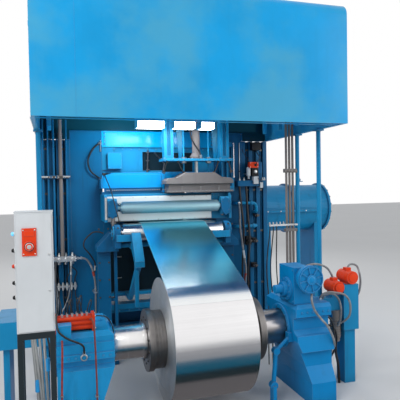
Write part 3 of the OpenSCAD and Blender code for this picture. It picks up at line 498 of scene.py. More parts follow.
def lit(name, colour, strength):
    """A lit lamp cover with ribs that are a little brighter than the rest."""
    _, tree, shader = new_material(name)
    ribs = tree.add("TexWave", tree.place(), 12.0, bands_direction="X").outputs["Fac"]
    glow = tree.mixed(ribs, tuple(c * 0.8 for c in colour), colour)
    tree.fill(shader, {"Emission Color": glow, "Base Color": glow,
                       "Emission Strength": strength, "Roughness": 0.3})


def tint(name, colour, mask_of):
    """Mixes another colour into a material, where the mask that mask_of makes is 1."""
    tree = Tree(bpy.data.materials[name].node_tree)
    target = tree.nodes["Principled BSDF"].inputs["Base Color"]
    before = target.links[0].from_socket
    tree.put(target, tree.mixed(mask_of(tree), before, colour))


def tint_band(name, coordinate, axis, centre, half_width, softness, colour):
    """Gives a band of a material, by place or by facing, another colour."""
    def mask(tree):
        value = tree.add("SeparateXYZ", tree.place(coordinate)).outputs[axis]
        return tree.group("Band mask", {"Value": value, "Centre": centre,
                                        "Half width": half_width, "Softness": softness})["Mask"]

    tint(name, colour, mask)


def tint_clouds(name, scale, low, high, strength, colour):
    """Fades broad soft patches of a material towards another colour."""
    def mask(tree):
        return tree.times(tree.ramp(tree.noise(tree.place(), scale, 5.0), low, high), strength)

    tint(name, colour, mask)


# Finishes

# Each paint: its colour or colour setting, then gloss, grime and painted shade, wear, dust and coat
PAINTS = {
    "Hood paint": ("hood", 0.3, 0.1, 0.08, 0.05, 0.25),
    "Beam paint": ("hood", 0.24, 0.1, 0.06, 0.0, 1.0),
    "Housing paint": ("housing", 0.36, 0.6, 0.25),
    "Machine paint": ("machine", 0.32, 0.5),
    "Azure paint": ("azure", 0.26, 0.35, 0.3, 0.1, 0.2),
    "Orange paint": ("orange", 0.34, 0.25, 0.2, 0.1, 0.0),
    "Cover paint": ("cover", 0.45, 0.4, 0.45, 0.2, 0.0),
    "Pipe paint": ("pipe", 0.34, 0.35, 0.4),
    "Control box paint": ("cabinet", 0.4, 0.1, 0.08),
    "Stand paint": ((0.02, 0.03, 0.036), 0.42, 0.35, 0.2),
    # Painted shade: dark sheets that stand in for the shade behind the strip and in the window.
    "Dark shade paint": ((0.004, 0.02, 0.032), 0.45, 0.5, 0.3, 0.1, 0.0),
    "White paint": ((0.66, 0.7, 0.72), 0.34, 0.25, 0.15),
    "Black paint": ((0.012, 0.013, 0.015), 0.38, 0.2, 0.25),
    # The rear panel's paint gets painted shade on its inner side, further below.
    "Rear panel shaded paint": ("hood", 0.3, 0.14, 0.08, 0.05, 0.35),
    "Left pipe paint": ("housing", 0.36, 0.55, 0.2),
    # The pale rib paint is painted lamp light at the top of the lift ribs.
    "Lamp-lit rib paint": ((0.2, 0.55, 0.72), 0.34, 0.1, 0.1),
    # A darker copy of the azure paint: painted shade that offsets the hood lamps' light on the guard box.
    "Guard box shaded paint": ((0.0, 0.28, 0.66), 0.26, 0.3, 0.3, 0.1, 0.2),
    # A darker copy of the azure paint: painted shade on the outboard support, which the key light reaches
    # less than the gearbox.
    "Support shaded paint": ((0.001, 0.235, 0.56), 0.28, 0.45, 0.25, 0.1, 0.15),
    "Red lens": ((0.7, 0.04, 0.01), 0.12, 0.0, 0.0),
    "Blue sleeve": ((0.03, 0.36, 0.8), 0.35, 0.2, 0.1),
}
# Each metal: its colour, its grain along X and across, then gloss, lines, stain, bump and
# how metallic it is
METALS = {
    "Polished roll": ((0.62, 0.66, 0.7), (260.0, 3.0), 0.16, 0.14, 0.05),
    "Guide roll chrome": ((0.44, 0.68, 0.75), (200.0, 3.0), 0.56, 0.1, 0.04, 0.03),
    "Pale bar": ((0.82, 0.91, 0.93), (2.0, 60.0), 0.36, 0.1, 0.04, 0.04, 0.45),
    "Turned steel": ((0.29, 0.275, 0.27), (220.0, 3.0), 0.26, 0.3, 0.35),
    "Shaft steel": ((0.86, 0.85, 0.85), (260.0, 3.0), 0.2, 0.12, 0.0),
    "Worn steel": ((0.42, 0.4, 0.4), (260.0, 3.0), 0.22, 0.16, 0.1),
    "Rolled strip": ((0.92, 0.94, 0.95), (90.0, 0.4), 0.15, 0.12, 0.02, 0.012),
    "Coil surface": ((0.94, 0.93, 0.94), (0.7, 70.0), 0.12, 0.2, 0.02, 0.03),
    "Coil edge": ((0.7, 0.72, 0.73), (20.0, 20.0), 0.34, 0.3, 0.15),
    "Ground steel": ((0.7, 0.73, 0.75), (3.0, 160.0), 0.24, 0.18, 0.2),
    "Zinc": ((0.72, 0.74, 0.74), (60.0, 60.0), 0.32, 0.2, 0.25),
    "Dark steel": ((0.13, 0.125, 0.12), (90.0, 90.0), 0.34, 0.25, 0.4),
}
RUBBERS = {
    "Black rubber": (0.012, 0.012, 0.013),
    "Grey rubber": (0.2, 0.21, 0.22),
    "Red rubber": (0.3, 0.035, 0.02),
    "Brown rubber": (0.24, 0.055, 0.04),
}
# The usual finish of a piece in each slot
USUAL_FINISH = {
    "bright_steel": "Zinc",
    "dark_steel": "Dark steel",
    "shaft_steel": "Turned steel",
    "hose_rubber": "Black rubber",
    "hood_paint": "Hood paint",
    "housing_paint": "Housing paint",
    "machine_blue": "Machine paint",
    "azure_paint": "Azure paint",
    "orange_paint": "Orange paint",
}
# The parts of the frame that each finish is for
FINISH_OF = {
    "Housing paint": (
        "left_housing right_housing separator_beams left_service_frame right_service_frame "
        "valve_block deflector_brackets"),
    "Machine paint": (
        "lower_entry_beam window_panel backup_chocks work_chocks guide_end_block guide_bearings "
        "side_unit guide_side_plates guide_beam lift_frame right_guide_column swing_arm "
        "reel_drive_base hood_posts drive_guard guard_saddles exit_brackets"),
    "Azure paint": "reel_gearbox",
    "Guard box shaded paint": "entry_guard_box",
    "Support shaded paint": "outboard_support outboard_head",
    "Beam paint": "entry_upper_beam",
    "Hood paint": "hood_front hood_left hood_right hood_roof",
    "Rear panel shaded paint": "hood_rear",
    "Left pipe paint": "left_pipes",
    "Polished roll": "work_rolls deflector_roll exit_roll",
    "Guide roll chrome": "guide_roll",
    "Turned steel": "backup_rolls capsule_cylinders reel_mandrel",
    "Rolled strip": "strip",
    "Coil surface": "coil",
    "Ground steel": "manifold",
    "Pale bar": "wiper_bars",
    "Cover paint": "wiper_cover lift_cylinder",
    "Pipe paint": "right_pipes lamp_rail",
    "Orange paint": "brake_unit button_panel side_motors",
    # The inner guards are painted shade: a dark plate behind the strip where there is only shade.
    "Dark shade paint": "inner_guards",
    "Black rubber": "left_hoses right_hoses",
    "Control box paint": "control_cabinet",
    "Stand paint": "cabinet_stand",
    "Lamp glow": "hood_lamps",
}
# The parts of the frame whose edges are rounded, by the width of the rounding
ROUNDED = {
    0.01: (
        "left_housing right_housing separator_beams entry_upper_beam reel_gearbox "
        "outboard_support outboard_head drive_guard"),
    0.006: (
        "lower_entry_beam window_panel left_service_frame right_service_frame entry_guard_box "
        "guide_side_plates guide_beam wiper_cover lift_frame right_guide_column swing_arm "
        "reel_drive_base brake_unit guard_saddles manifold valve_block control_cabinet "
        "deflector_brackets exit_brackets backup_chocks work_chocks"),
    0.003: (
        "cabinet_stand button_panel reel_mandrel deflector_roll exit_roll guide_roll "
        "lift_cylinder"),
}


class MILL_OT_finishes(bpy.types.Operator):
    """Makes the finishes and puts them on the parts of the frame"""

    bl_idname = "mill.finishes"
    bl_label = "Finishes"

    def execute(self, context):
        paint_skin_group()
        metal_grain_group()
        band_mask_group()
        for name, (colour, *rest) in PAINTS.items():
            paint(name, getattr(colours(), colour) if isinstance(colour, str) else colour, *rest)
        for name, values in METALS.items():
            metal(name, *values)
        for name, colour in RUBBERS.items():
            rubber(name, colour)
        lit("Lamp glow", (0.94, 0.98, 1.0), 10.0)
        lit("Blue lens", (0.15, 0.62, 1.0), 0.6)
        self.tints()
        placed = set()
        for name, nodes in FINISH_OF.items():
            for node in nodes.split():
                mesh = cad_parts[node].data
                mesh.materials.clear()
                mesh.materials.append(bpy.data.materials[name])
                placed.add(node)
        missing = set(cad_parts) - placed
        if missing:
            raise RuntimeError(f"no finish for {sorted(missing)}")
        return {"FINISHED"}

    def tints(self):
        """Pale clouds of painted reflection on the hood, painted shade on the inner side of its rear
        panel, and the bands of pipes, ribs and strip: a brown pipe, painted lamp light on the ribs, a
        painted reflection of the blue hood on the strip and painted highlights on its edges.
        """
        # Painted reflection: broad pale patches on the hood paint stand in for the hall mirrored in it.
        tint_clouds("Hood paint", 0.75, 0.38, 0.62, 0.7, (0.085, 0.42, 0.62))
        # Painted shade: the faces of the rear panel that face the front, inside the hood, are made dark
        # as if in shade.
        tint_band("Rear panel shaded paint", "Normal", "Y", -1.0, 0.5, 0.1, (0.001, 0.035, 0.06))
        tint_band("Left pipe paint", "Object", "X", -1.953, 0.05, 0.01, colours().pipe)
        # Painted light: the lift ribs are pale at the top, as if lit by the hood lamps, and machine blue
        # low down.
        tint_band("Lamp-lit rib paint", "Object", "Z", 3.84, 0.36, 0.5, colours().machine)
        # Painted reflection: the strip is tinted blue towards the mill, where it would mirror the blue
        # hood.
        tint_band("Rolled strip", "Object", "Y", -1.9, 1.45, 0.5, (0.24, 0.8, 0.95))
        # Painted highlight: thin near-white bands along both edges of the strip, as if they catch the
        # light.
        for edge in (-0.6, 0.6):
            tint_band("Rolled strip", "Object", "X", edge, 0.009, 0.004, (0.96, 0.97, 0.98))


class MILL_OT_round_edges(bpy.types.Operator):
    """Rounds the sharp edges of the frame's own parts"""

    bl_idname = "mill.round_edges"
    bl_label = "Round edges"

    def execute(self, context):
        for width, names in ROUNDED.items():
            for name in names.split():
                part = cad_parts[name]
                part.modifiers.new("Joined", "WELD").merge_threshold = 0.00005
                round_edges(part, width, 35)
        return {"FINISHED"}


# Hood


class MILL_OT_hood(bpy.types.Operator):
    """Lip, side ribs, inner frame, lifting lugs and flange bolts of the fume hood"""

    bl_idname = "mill.hood"
    bl_label = "Hood"
    rib = 0.01

    def execute(self, context):
        low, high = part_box("hood_front")
        rear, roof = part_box("hood_rear")[1].y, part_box("hood_left")[1].z
        self.sides = low.x, high.x, low.y, rear, low.z, roof
        self.rows = spaced(low.y + 0.55, rear - 0.4, 4)
        self.ribs()
        self.inner_frame()
        self.fixings()
        self.lugs()
        return {"FINISHED"}

    def ribs(self):
        """A lip round the lower edge, and the joint strips of the side and roof plates."""
        left, right, front, rear, bottom, roof = self.sides
        trim, half = Parts(), sizes().seam / 2
        lip, curb, curb_y, start, rail = 0.05, 0.06, front + 0.18, front + 0.3, roof - 0.62
        trim.box((left + curb, curb_y, bottom), (right - curb, curb_y + curb, bottom + 0.01))
        for side, out in ((left, -self.rib), (right, self.rib)):
            trim.box((side, start, bottom), (side + out, rear, bottom + lip))
            for y in self.rows:
                trim.box((side, y - half, bottom + lip), (side + out, y + half, roof - 0.02))
            trim.box((side, start, rail), (side + out * 1.6, rear - 0.05, rail + 0.06))
        for y in self.rows:
            trim.box((left + 0.05, y - half, roof), (right - 0.05, y + half, roof + self.rib))
        seam_x, seam = -1.767, 0.004
        trim.box((seam_x - seam, front - 0.003, bottom + 0.01), (seam_x + seam, front + seam, roof - 0.3))
        trim.piece("hood_trim", "hood_paint", edge=0.002)

    def inner_frame(self):
        """Channels that stiffen the plates from inside, seen from below."""
        left, right, front, _, bottom, roof = self.sides
        frames, half, deep, lining = Parts(), 0.03, 0.07, 0.18
        low, high, front = bottom + 0.12, roof - 0.06, front + lining
        for y in self.rows:
            frames.box((left + 0.19, y - half, high - deep), (right - 0.19, y + half, roof - 0.055))
            for side, way in ((left + lining, deep), (right - lining, -deep)):
                frames.box((side, y - half, low), (side + way, y + half, high))
        for x in spaced(left + 0.6, right - 0.6, 5):
            frames.box((x - half, front, low), (x + half, front + deep, roof - 0.2))
        frames.box((left + 0.19, front, bottom + 0.06), (right - 0.19, front + deep, low))
        frames.piece("hood_frame", "hood_paint", edge=0.003)

    def fixings(self):
        """Bolts down the ribs, along the lip and round the flange of the outlet."""
        left, right, front, rear, bottom, roof = self.sides
        bolts, size = Parts(), sizes().small_bolt
        for side, way in ((left - self.rib, -X), (right + self.rib, X)):
            for y in self.rows:
                bolts.bolts(grid(side, y, spaced(bottom + 0.14, roof - 0.12, 11)), way, size)
            lip = spaced(front + 0.38, rear - 0.1, 14)
            bolts.bolts(grid(side, lip, bottom + 0.025), way, size)
        flange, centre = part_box("hood_roof")[1].z, (front + rear) / 2
        half_x, half_y, corner = 0.585, 0.435, 0.145
        for s in (-1, 1):
            bolts.bolts(grid(spaced(-half_x, half_x, 9), centre + s * half_y, flange), Z, size)
            side = [centre + y for y in spaced(-half_y + corner, half_y - corner, 5)]
            bolts.bolts(grid(s * half_x, side, flange), Z, size)
        bolts.piece("hood_bolts", "bright_steel")

    def lugs(self):
        left, right, front, rear, _, roof = self.sides
        lugs, base, thick = Parts(), roof + 0.012, 0.012
        for x, y, _ in grid((left + 0.55, right - 0.55), (front + 0.75, rear - 0.6), 0):
            lugs.box((x - 0.1, y - 0.06, roof), (x + 0.1, y + 0.06, base))
            outline = [(x + dx, roof + dz) for dx, dz in ((-0.06, 0.012), (0.06, 0.012), (0.045, 0.11),
                (0.02, 0.135), (-0.02, 0.135), (-0.045, 0.11))]
            lugs.prism("Y", outline, y - thick, y + thick)
            lugs.ring((x, y - 0.013, roof + 0.085), Y, 0.022, 0.038, 0.026, 20)
        lugs.piece("lifting_lugs", "hood_paint", edge=0.003)


class MILL_OT_hood_lamps(bpy.types.Operator):
    """Frames, hangers and cable of the lamps under the hood"""

    bl_idname = "mill.hood_lamps"
    bl_label = "Hood lamps"

    def execute(self, context):
        rail_low, rail_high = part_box("lamp_rail")
        low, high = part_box("hood_lamps")
        frames, wall, top, shade = Parts(), 0.014, high.z + 0.01, low.z + 0.11
        for x, width in ((-0.455, 0.46), (0.14, 0.37), (0.56, 0.24)):
            left, right = x - width / 2, x + width / 2
            for side, way in ((left, -wall), (right, wall)):
                frames.box((side, low.y - wall, low.z - 0.004), (side + way, high.y + wall, high.z))
            for side, way in ((low.y, -wall), (high.y, wall)):
                frames.box((left, side, shade), (right, side + way, high.z))
            frames.box((left - wall, low.y - wall, high.z - 0.004), (right + wall, high.y + wall, top))
            for hanger in (left + width * 0.25, left + width * 0.75):
                frames.box((hanger - 0.015, rail_low.y, top),
                    (hanger + 0.015, rail_high.y, rail_low.z + 0.004))
        frames.piece("lamp_frames", "hood_paint", edge=0.002)
        cable, z, y = Parts(), rail_high.z + 0.01, middle("lamp_rail")[1]
        cable.hose([(rail_low.x + 0.05, y, z), (-1.3, y + 0.006, z), (-0.4, y - 0.006, z), (0.2, y, z),
            (0.62, y, z)], 0.01)
        cable.piece("lamp_cable", "hose_rubber")
        return {"FINISHED"}


# Housings and chocks


class MILL_OT_housings(bpy.types.Operator):
    """Caps, lifting eyes, foot nuts, keepers and end covers of the two housings"""

    bl_idname = "mill.housings"
    bl_label = "Housings"

    def execute(self, context):
        low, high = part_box("right_housing")
        self.outer, self.top, self.middle = high.x, high.z, (low.x + high.x) / 2
        self.chock_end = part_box("backup_chocks")[1].x
        self.caps()
        self.feet()
        self.chock_covers()
        return {"FINISHED"}

    def caps(self):
        """A flanged cap and two lifting plates on each housing, and rests on its side."""
        caps, nuts, top = Parts(), Parts(), self.top
        eye_y, eye_base = 0.62, top + 0.02
        for s in (-1, 1):
            x = s * self.middle
            caps.turned((x, 0, top), Z, [(0.26, 0), (0.26, 0.035), (0.19, 0.05), (0.19, 0.12),
                (0.175, 0.135)], 48)
            nuts.bolts(round_places((x, 0, top + 0.036), Z, 0.226, 12), Z, sizes().bolt * 0.8)
            for y in (-eye_y, eye_y):
                caps.box((x - 0.09, y - 0.07, top), (x + 0.09, y + 0.07, eye_base))
                caps.prism("X", [(y - 0.055, eye_base), (y + 0.055, eye_base), (y + 0.04, top + 0.13),
                    (y - 0.04, top + 0.13)], x - 0.018, x + 0.018)
            for z in (1.35, 4.6):
                caps.turned((s * self.outer, 0.92, z), X * s,
                    [(0.1, 0), (0.1, 0.02), (0.06, 0.03), (0.06, 0.12), (0.085, 0.13), (0.085, 0.15),
                    (0.075, 0.16)], 28)
        caps.piece("housing_caps", "housing_paint", edge=0.004)
        nuts.piece("cap_nuts", "dark_steel")

    def feet(self):
        """Studs, washers and nuts that hold the feet down."""
        nuts, foot, half_x, half_y = Parts(), 0.34, 0.16, 1.325
        for s in (-1, 1):
            centre = s * self.middle
            for x, y, z in grid((centre - half_x, centre + half_x), (-half_y, half_y), foot):
                nuts.turned((x, y, z), Z, [(0.085, 0), (0.085, 0.012)], 32)
                nuts.turned((x, y, z + 0.012), Z, [(0.078, 0), (0.078, 0.065), (0.07, 0.075)], 6)
                nuts.turned((x, y, z + 0.085), Z, [(0.043, 0), (0.043, 0.055), (0.038, 0.06)], 24)
        nuts.piece("foot_nuts", "dark_steel", smooth=30)

    def chock_covers(self):
        """Bolted covers on the bearing ends, and the keepers that hold the chocks in."""
        covers, bolts, size, end = Parts(), Parts(), sizes().bolt, self.chock_end
        low_backup, high_backup, work = 1.674, 3.669, (2.4595, 2.8835)
        wide, narrow = 0.38, 0.215
        for s in (-1, 1):
            for z in (low_backup, high_backup):
                r = wide if s < 0 or z == low_backup else narrow
                covers.turned((s * end, 0, z), X * s, [(r, 0), (r, 0.03), (r - 0.012, 0.04),
                    (r * 0.74, 0.04), (r * 0.72, 0.062), (r * 0.3, 0.062), (r * 0.28, 0.078),
                    (r * 0.16, 0.078)], 64)
                bolts.bolts(round_places((s * (end + 0.04), 0, z), X, r * 0.86, 16), X * s,
                    size * (r + 0.2) * 1.4)
                for t in (-1, 1):
                    self.keeper(covers, bolts, s, t, z)
            for z in work if s < 0 else ():
                covers.turned((s * end, 0, z), X * s, [(0.165, 0), (0.165, 0.028), (0.156, 0.036),
                    (0.08, 0.036), (0.07, 0.055)], 48)
                bolts.bolts(round_places((s * (end + 0.036), 0, z), X, 0.125, 8), X * s, size * 0.6)
        covers.piece("chock_covers", "machine_blue", edge=0.003)
        bolts.piece("chock_bolts", "dark_steel")

    def keeper(self, covers, bolts, side, way, z):
        """A bar over the edge of the chock, bolted on the housing's outer face."""
        high, face, bolt_y = 0.12, side * (self.outer + 0.035), way * 0.665
        covers.box((side * self.outer, way * 0.585, z - high), (face, way * 0.685, z + high))
        rows = [z + dz for dz in (-high * 0.7, 0, high * 0.7)]
        bolts.bolts(grid(face, bolt_y, rows), X * side, sizes().small_bolt)


class MILL_OT_service_frames(bpy.types.Operator):
    """Thin pipes, clamps, cable loop and boxes on the service frames, and handles on the guards"""

    bl_idname = "mill.service_frames"
    bl_label = "Service frames"

    def execute(self, context):
        low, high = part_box("left_service_frame")
        self.front, self.top = low.y, high.z
        self.tubes()
        self.loop_hose()
        self.boxes()
        return {"FINISHED"}

    def tubes(self):
        """Thin pipes inside the channels, each with its radius, and bright ones in front."""
        painted, bright, clamps = Parts(), Parts(), Parts()
        inside, face = self.front + 0.05, self.front - 0.012
        foot, under_hood = 0.36, 4.6
        left = ((-2.218, 0.012), (-2.19, 0.009), (-1.895, 0.012), (-1.868, 0.009))
        right = ((1.895, 0.014), (2.05, 0.012), (2.078, 0.009), (2.215, 0.014))
        for tubes, top in ((left, under_hood), (right, self.top - 0.04)):
            for x, r in tubes:
                painted.rod((x, inside, foot), (x, inside, top), r, 12)
        for x, z0, z1, r in ((1.703, 2.3, 4.22, 0.01), (1.565, 3.3, 4.2, 0.01),
                (-1.185, 4.02, 4.235, 0.012)):
            bright.rod((x, face, z0), (x, face, z1), r, 12)
        for z in (1.2, 2.32, 3.2, 4.05):
            for x, r in left + right:
                clamps.box((x - r - 0.014, inside - r - 0.006, z),
                    (x + r + 0.014, inside + 0.075, z + 0.04))
        for z in (2.45, 3.05, 3.6):
            clamps.box((1.686, self.front - 0.026, z), (1.72, self.front, z + 0.03))
        painted.piece("frame_tubes", "housing_paint")
        bright.piece("bright_tubes", "bright_steel")
        clamps.piece("tube_clamps", "dark_steel", edge=0.002)

    def loop_hose(self):
        loop, y, top, bottom = Parts(), self.front, 4.183, 3.489
        loop.hose([(-1.193, y - 0.03, top), (-1.32, y - 0.06, 4.08), (-1.427, y - 0.08, 3.856),
            (-1.38, y - 0.07, 3.64), (-1.193, y - 0.03, bottom)], 0.015, steps=10)
        for z in (top, bottom):
            loop.rod((-1.225, y - 0.034, z), (-1.165, y - 0.028, z), 0.021, 6, slot=1)
            loop.box((-1.19, y - 0.044, z - 0.024), (-1.162, y, z + 0.024), slot=1)
        loop.piece("housing_loop_hose", "hose_rubber", "Black rubber", "Zinc")

    def boxes(self):
        """Terminal boxes, each by its sides and its reach, and handles on the guards."""
        boxes, y = Parts(), self.front
        for x0, x1, z0, z1, reach in ((1.95, 2.15, 4.06, 4.225, 0.13), (1.93, 2.04, 1.57, 1.67, 0.09),
                (1.81, 1.93, 2.06, 2.24, 0.08), (1.95, 2.04, 2.1, 2.2, 0.09)):
            boxes.box((x0, y - reach, z0), (x1, y, z1))
        boxes.piece("terminal_boxes", "dark_steel", "Black paint", edge=0.006)
        handles, half, back = Parts(), 0.055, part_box("inner_guards")[0].y
        front = back - 0.045
        for x, z in ((-0.868, 1.94), (-0.873, 1.522)):
            handles.pipe([(x - half, back, z), (x - half, front, z), (x + half, front, z),
                (x + half, back, z)], 0.009, bend=0.02, sides=10)
        handles.piece("guard_handles", "bright_steel")


# Entry side


class MILL_OT_window(bpy.types.Operator):
    """Lamp box, pipes, plates, gauge and bolts in and round the window over the entry"""

    bl_idname = "mill.window"
    bl_label = "Window"

    def execute(self, context):
        self.low, self.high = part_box("window_panel")
        self.pipes()
        self.bolts()
        self.box()
        self.plates()
        self.gauge()
        return {"FINISHED"}

    def pipes(self):
        pipes, face = Parts(), self.low.y
        for start, end in (((-0.239, 4.06), (-0.268, 3.615)), ((-0.115, 4.01), (0.085, 3.79)),
                ((0.085, 3.79), (0.06, 3.62))):
            pipes.rod(*on(face + 0.004, start, end), 0.015, 12)
        for z in (3.66, 3.84, 4):
            pipes.box((-0.285, face - 0.016, z), (-0.225, face + 0.01, z + 0.02))
        pipes.piece("window_pipes", "shaft_steel")

    def bolts(self):
        bolts, small, margin = Parts(), sizes().small_bolt, 0.06
        top = spaced(self.low.x + 0.08, self.high.x - 0.08, 14)
        bolts.bolts(grid(top, self.low.y, self.high.z - 0.035), -Y, small)
        low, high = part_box("entry_upper_beam")
        zs = spaced(low.z + margin, high.z - margin, 4)
        bolts.bolts(grid((low.x + margin, high.x - margin), low.y, zs), -Y, sizes().bolt * 0.8)
        low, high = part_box("lower_entry_beam")
        xs = spaced(low.x + 0.08, high.x - 0.08, 12)
        bolts.bolts(grid(xs, low.y, (high.z - margin, low.z + margin)), -Y, small)
        bolts.piece("beam_bolts", "machine_blue")

    def box(self):
        """A terminal box with its lid beside the opening."""
        box, face = Parts(), self.low.y
        left, right, low, high = -1.05, -0.79, 3.69, 3.99
        back, lid, lip, margin = face - 0.09, face - 0.104, 0.006, 0.02
        box.box((left, back, low), (right, face, high))
        box.box((left - lip, lid, low - lip), (right + lip, back, high + lip))
        box.bolts(grid((left + margin, right - margin), lid, (low + margin, high - margin)), -Y, 0.014,
            slot=1)
        box.piece("window_box", "machine_blue", "Machine paint", "Azure paint", edge=0.004)

    def plates(self):
        """Splash plates round the guides: two corners and the number of the finish."""
        plates = Parts()
        for corner, other, slot in (((-1.212, -1.498, 3.186), (-0.06, -1.478, 3.24), 0),
                ((-1.16, -1.146, 2.38), (-0.96, -1.134, 2.7), 0),
                ((-0.545, -1.13, 1.235), (-0.475, -1.04, 2.4), 0),
                # The plate in the dark paint is painted shade: a dark sheet that stands in for the shade
                # inside the window.
                ((0.06, -1.128, 3.625), (0.674, -1.118, 4.005), 1),
                ((-0.052, -1.162, 3.3), (1.16, -1.148, 3.618), 2),
                ((-0.052, -1.5, 3.205), (0, -1.15, 3.6), 2)):
            plates.box(corner, other, slot)
        plates.piece("splash_plates", "housing_paint", "Housing paint", "Dark shade paint", "Guard box shaded paint",
            edge=0.002)

    def gauge(self):
        """A bright rod in three holders on the right guide column."""
        gauge, y, x = Parts(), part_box("right_guide_column")[0].y, 1.512
        gauge.rod((x, y - 0.022, 3.48), (x, y - 0.022, 4.21), 0.012, 14)
        for z in (3.5, 3.85, 4.19):
            gauge.box((x - 0.02, y - 0.036, z - 0.01), (x + 0.018, y + 0.004, z + 0.01))
        gauge.piece("guide_gauge", "bright_steel", "Shaft steel", edge=0.002)


class MILL_OT_guard_box(bpy.types.Operator):
    """Bolt strip, cover and cable of the azure guard box"""

    bl_idname = "mill.guard_box"
    bl_label = "Guard box"

    def execute(self, context):
        low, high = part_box("entry_guard_box")
        y, box, strip, cable = low.y, Parts(), Parts(), Parts()
        box.box((low.x + 0.02, y - 0.01, low.z + 0.075), (high.x - 0.02, y, high.z - 0.035))
        box.piece("guard_box_cover", "azure_paint", "Guard box shaded paint", edge=0.003)
        front, left, right, margin = y - 0.012, -1.14, -0.08, 0.03
        strip.box((left, front, low.z + 0.018), (right, y, low.z + 0.052))
        strip.bolts(grid(spaced(left + margin, right - margin, 30), front, low.z + 0.035), -Y, 0.017,
            slot=1)
        strip.piece("guard_box_strip", "machine_blue", "Housing paint", "Zinc", edge=0.002)
        cable.hose([(-1.157, front, high.z - 0.02), (-1.14, y - 0.1, 3.5), (-1.115, -1.86, 3.36),
            (-1.085, -2.02, 3.22), (-1.03, -2.07, 2.96), (-0.975, -2.05, 2.74), (-0.964, -2, 2.66)],
            0.009, sides=8, steps=6)
        cable.box((-1.18, y - 0.026, high.z - 0.045), (-1.135, y, high.z), slot=1)
        cable.piece("guard_box_cable", "hose_rubber", "Black rubber", "Dark steel")
        return {"FINISHED"}


class MILL_OT_guides(bpy.types.Operator):
    """End caps, bright edges, bolts and pins round the guide roll and wiper bars"""

    bl_idname = "mill.guides"
    bl_label = "Guides"

    def execute(self, context):
        self.end_caps()
        self.edges()
        self.fittings()
        return {"FINISHED"}

    def end_caps(self):
        """Six-sided caps in front of the guide roll's bearings."""
        caps, bolts, front = Parts(), Parts(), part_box("guide_roll")[0].y + 0.02
        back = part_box("guide_bearings")[0].y + 0.01
        corners = ((1.155, 3.048), (1.078, 3.105), (0.978, 3.04), (0.989, 2.86), (1.068, 2.752),
            (1.158, 2.816))
        screws = ((1.015, 2.88), (1.13, 2.86), (1.128, 3.02), (1.008, 3.015))
        for s in (-1, 1):
            caps.prism("Y", [(s * x, z) for x, z in corners], front, back)
            bolts.bolts([(s * x, front, z) for x, z in screws], -Y, sizes().small_bolt * 0.7)
        caps.piece("guide_end_caps", "machine_blue", "Housing paint", edge=0.004)
        bolts.piece("guide_cap_bolts", "bright_steel", "Housing paint")

    def edges(self):
        """A bright wear strip on the left side plate, and screws along the wiper bars."""
        strips, y = Parts(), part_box("guide_side_plates")[0].y
        front = y - 0.008
        strips.box((-1.204, front, 2.74), (-1.168, y, 3.14))
        strips.bolts(on(front, (-1.186, 2.8), (-1.186, 2.94), (-1.186, 3.08)), -Y, 0.018)
        low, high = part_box("wiper_bars")
        xs = spaced(low.x + 0.25, high.x - 0.1, 8)
        for z in (low.z + 0.02, high.z - 0.02):
            strips.bolts(grid(xs, low.y, z), -Y, 0.016)
        strips.piece("guide_edges", "bright_steel", edge=0.002)

    def fittings(self):
        """Two pins on the end block, the screw at its left, and the bolts of block and beam."""
        fittings, bolts, front = Parts(), Parts(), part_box("guide_end_block")[0].y
        for x, z in ((1.06, 2.767), (1.143, 2.784)):
            for y, end, r, sides in ((0.01, 0.055, 0.016, 14), (-0.002, 0.022, 0.024, 6)):
                fittings.rod((x, front + y, z), (x, front - end, z), r, sides)
        x, y = -1.06, -1.93
        fittings.rod((x, y, 2.6), (x, y, 2.79), 0.03, 16)
        fittings.turned((x, y, 2.66), Z, [(0.046, 0), (0.046, 0.05)], 6)
        fittings.piece("guide_fittings", "shaft_steel")
        bolts.bolts(grid((0.9, 1), front, (3.08, 3.14)), -Y, 0.02)
        low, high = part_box("guide_beam")
        bolts.bolts(grid(spaced(low.x + 0.1, high.x - 0.1, 10), low.y, middle("guide_beam")[2]), -Y, 0.02)
        bolts.piece("guide_bolts", "bright_steel", "Machine paint")


class MILL_OT_cover(bpy.types.Operator):
    """Lip, seams and screws of the grey cover over the entry"""

    bl_idname = "mill.cover"
    bl_label = "Cover"

    def execute(self, context):
        low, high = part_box("wiper_cover")
        trim, y, lip, top, screw = Parts(), low.y, low.y - 0.008, low.z + 0.035, 0.016
        trim.box((low.x + 0.01, lip, low.z + 0.005), (high.x - 0.01, y, top))
        for x in spaced(low.x + 0.3, high.x - 0.3, 3):
            trim.box((x - 0.012, y - 0.005, top), (x + 0.012, y, low.z + 0.115))
        xs, ys = spaced(low.x + 0.05, high.x - 0.05, 18), spaced(y + 0.06, high.y - 0.06, 5)
        trim.bolts(grid(xs, lip, low.z + 0.02), -Y, screw, slot=1)
        for way, x in ((-X, low.x), (X, high.x)):
            trim.bolts(grid(x, ys, low.z + 0.06), way, screw, slot=1)
        trim.piece("cover_trim", "grey_paint", "Cover paint", "Pipe paint", edge=0.0015)
        return {"FINISHED"}


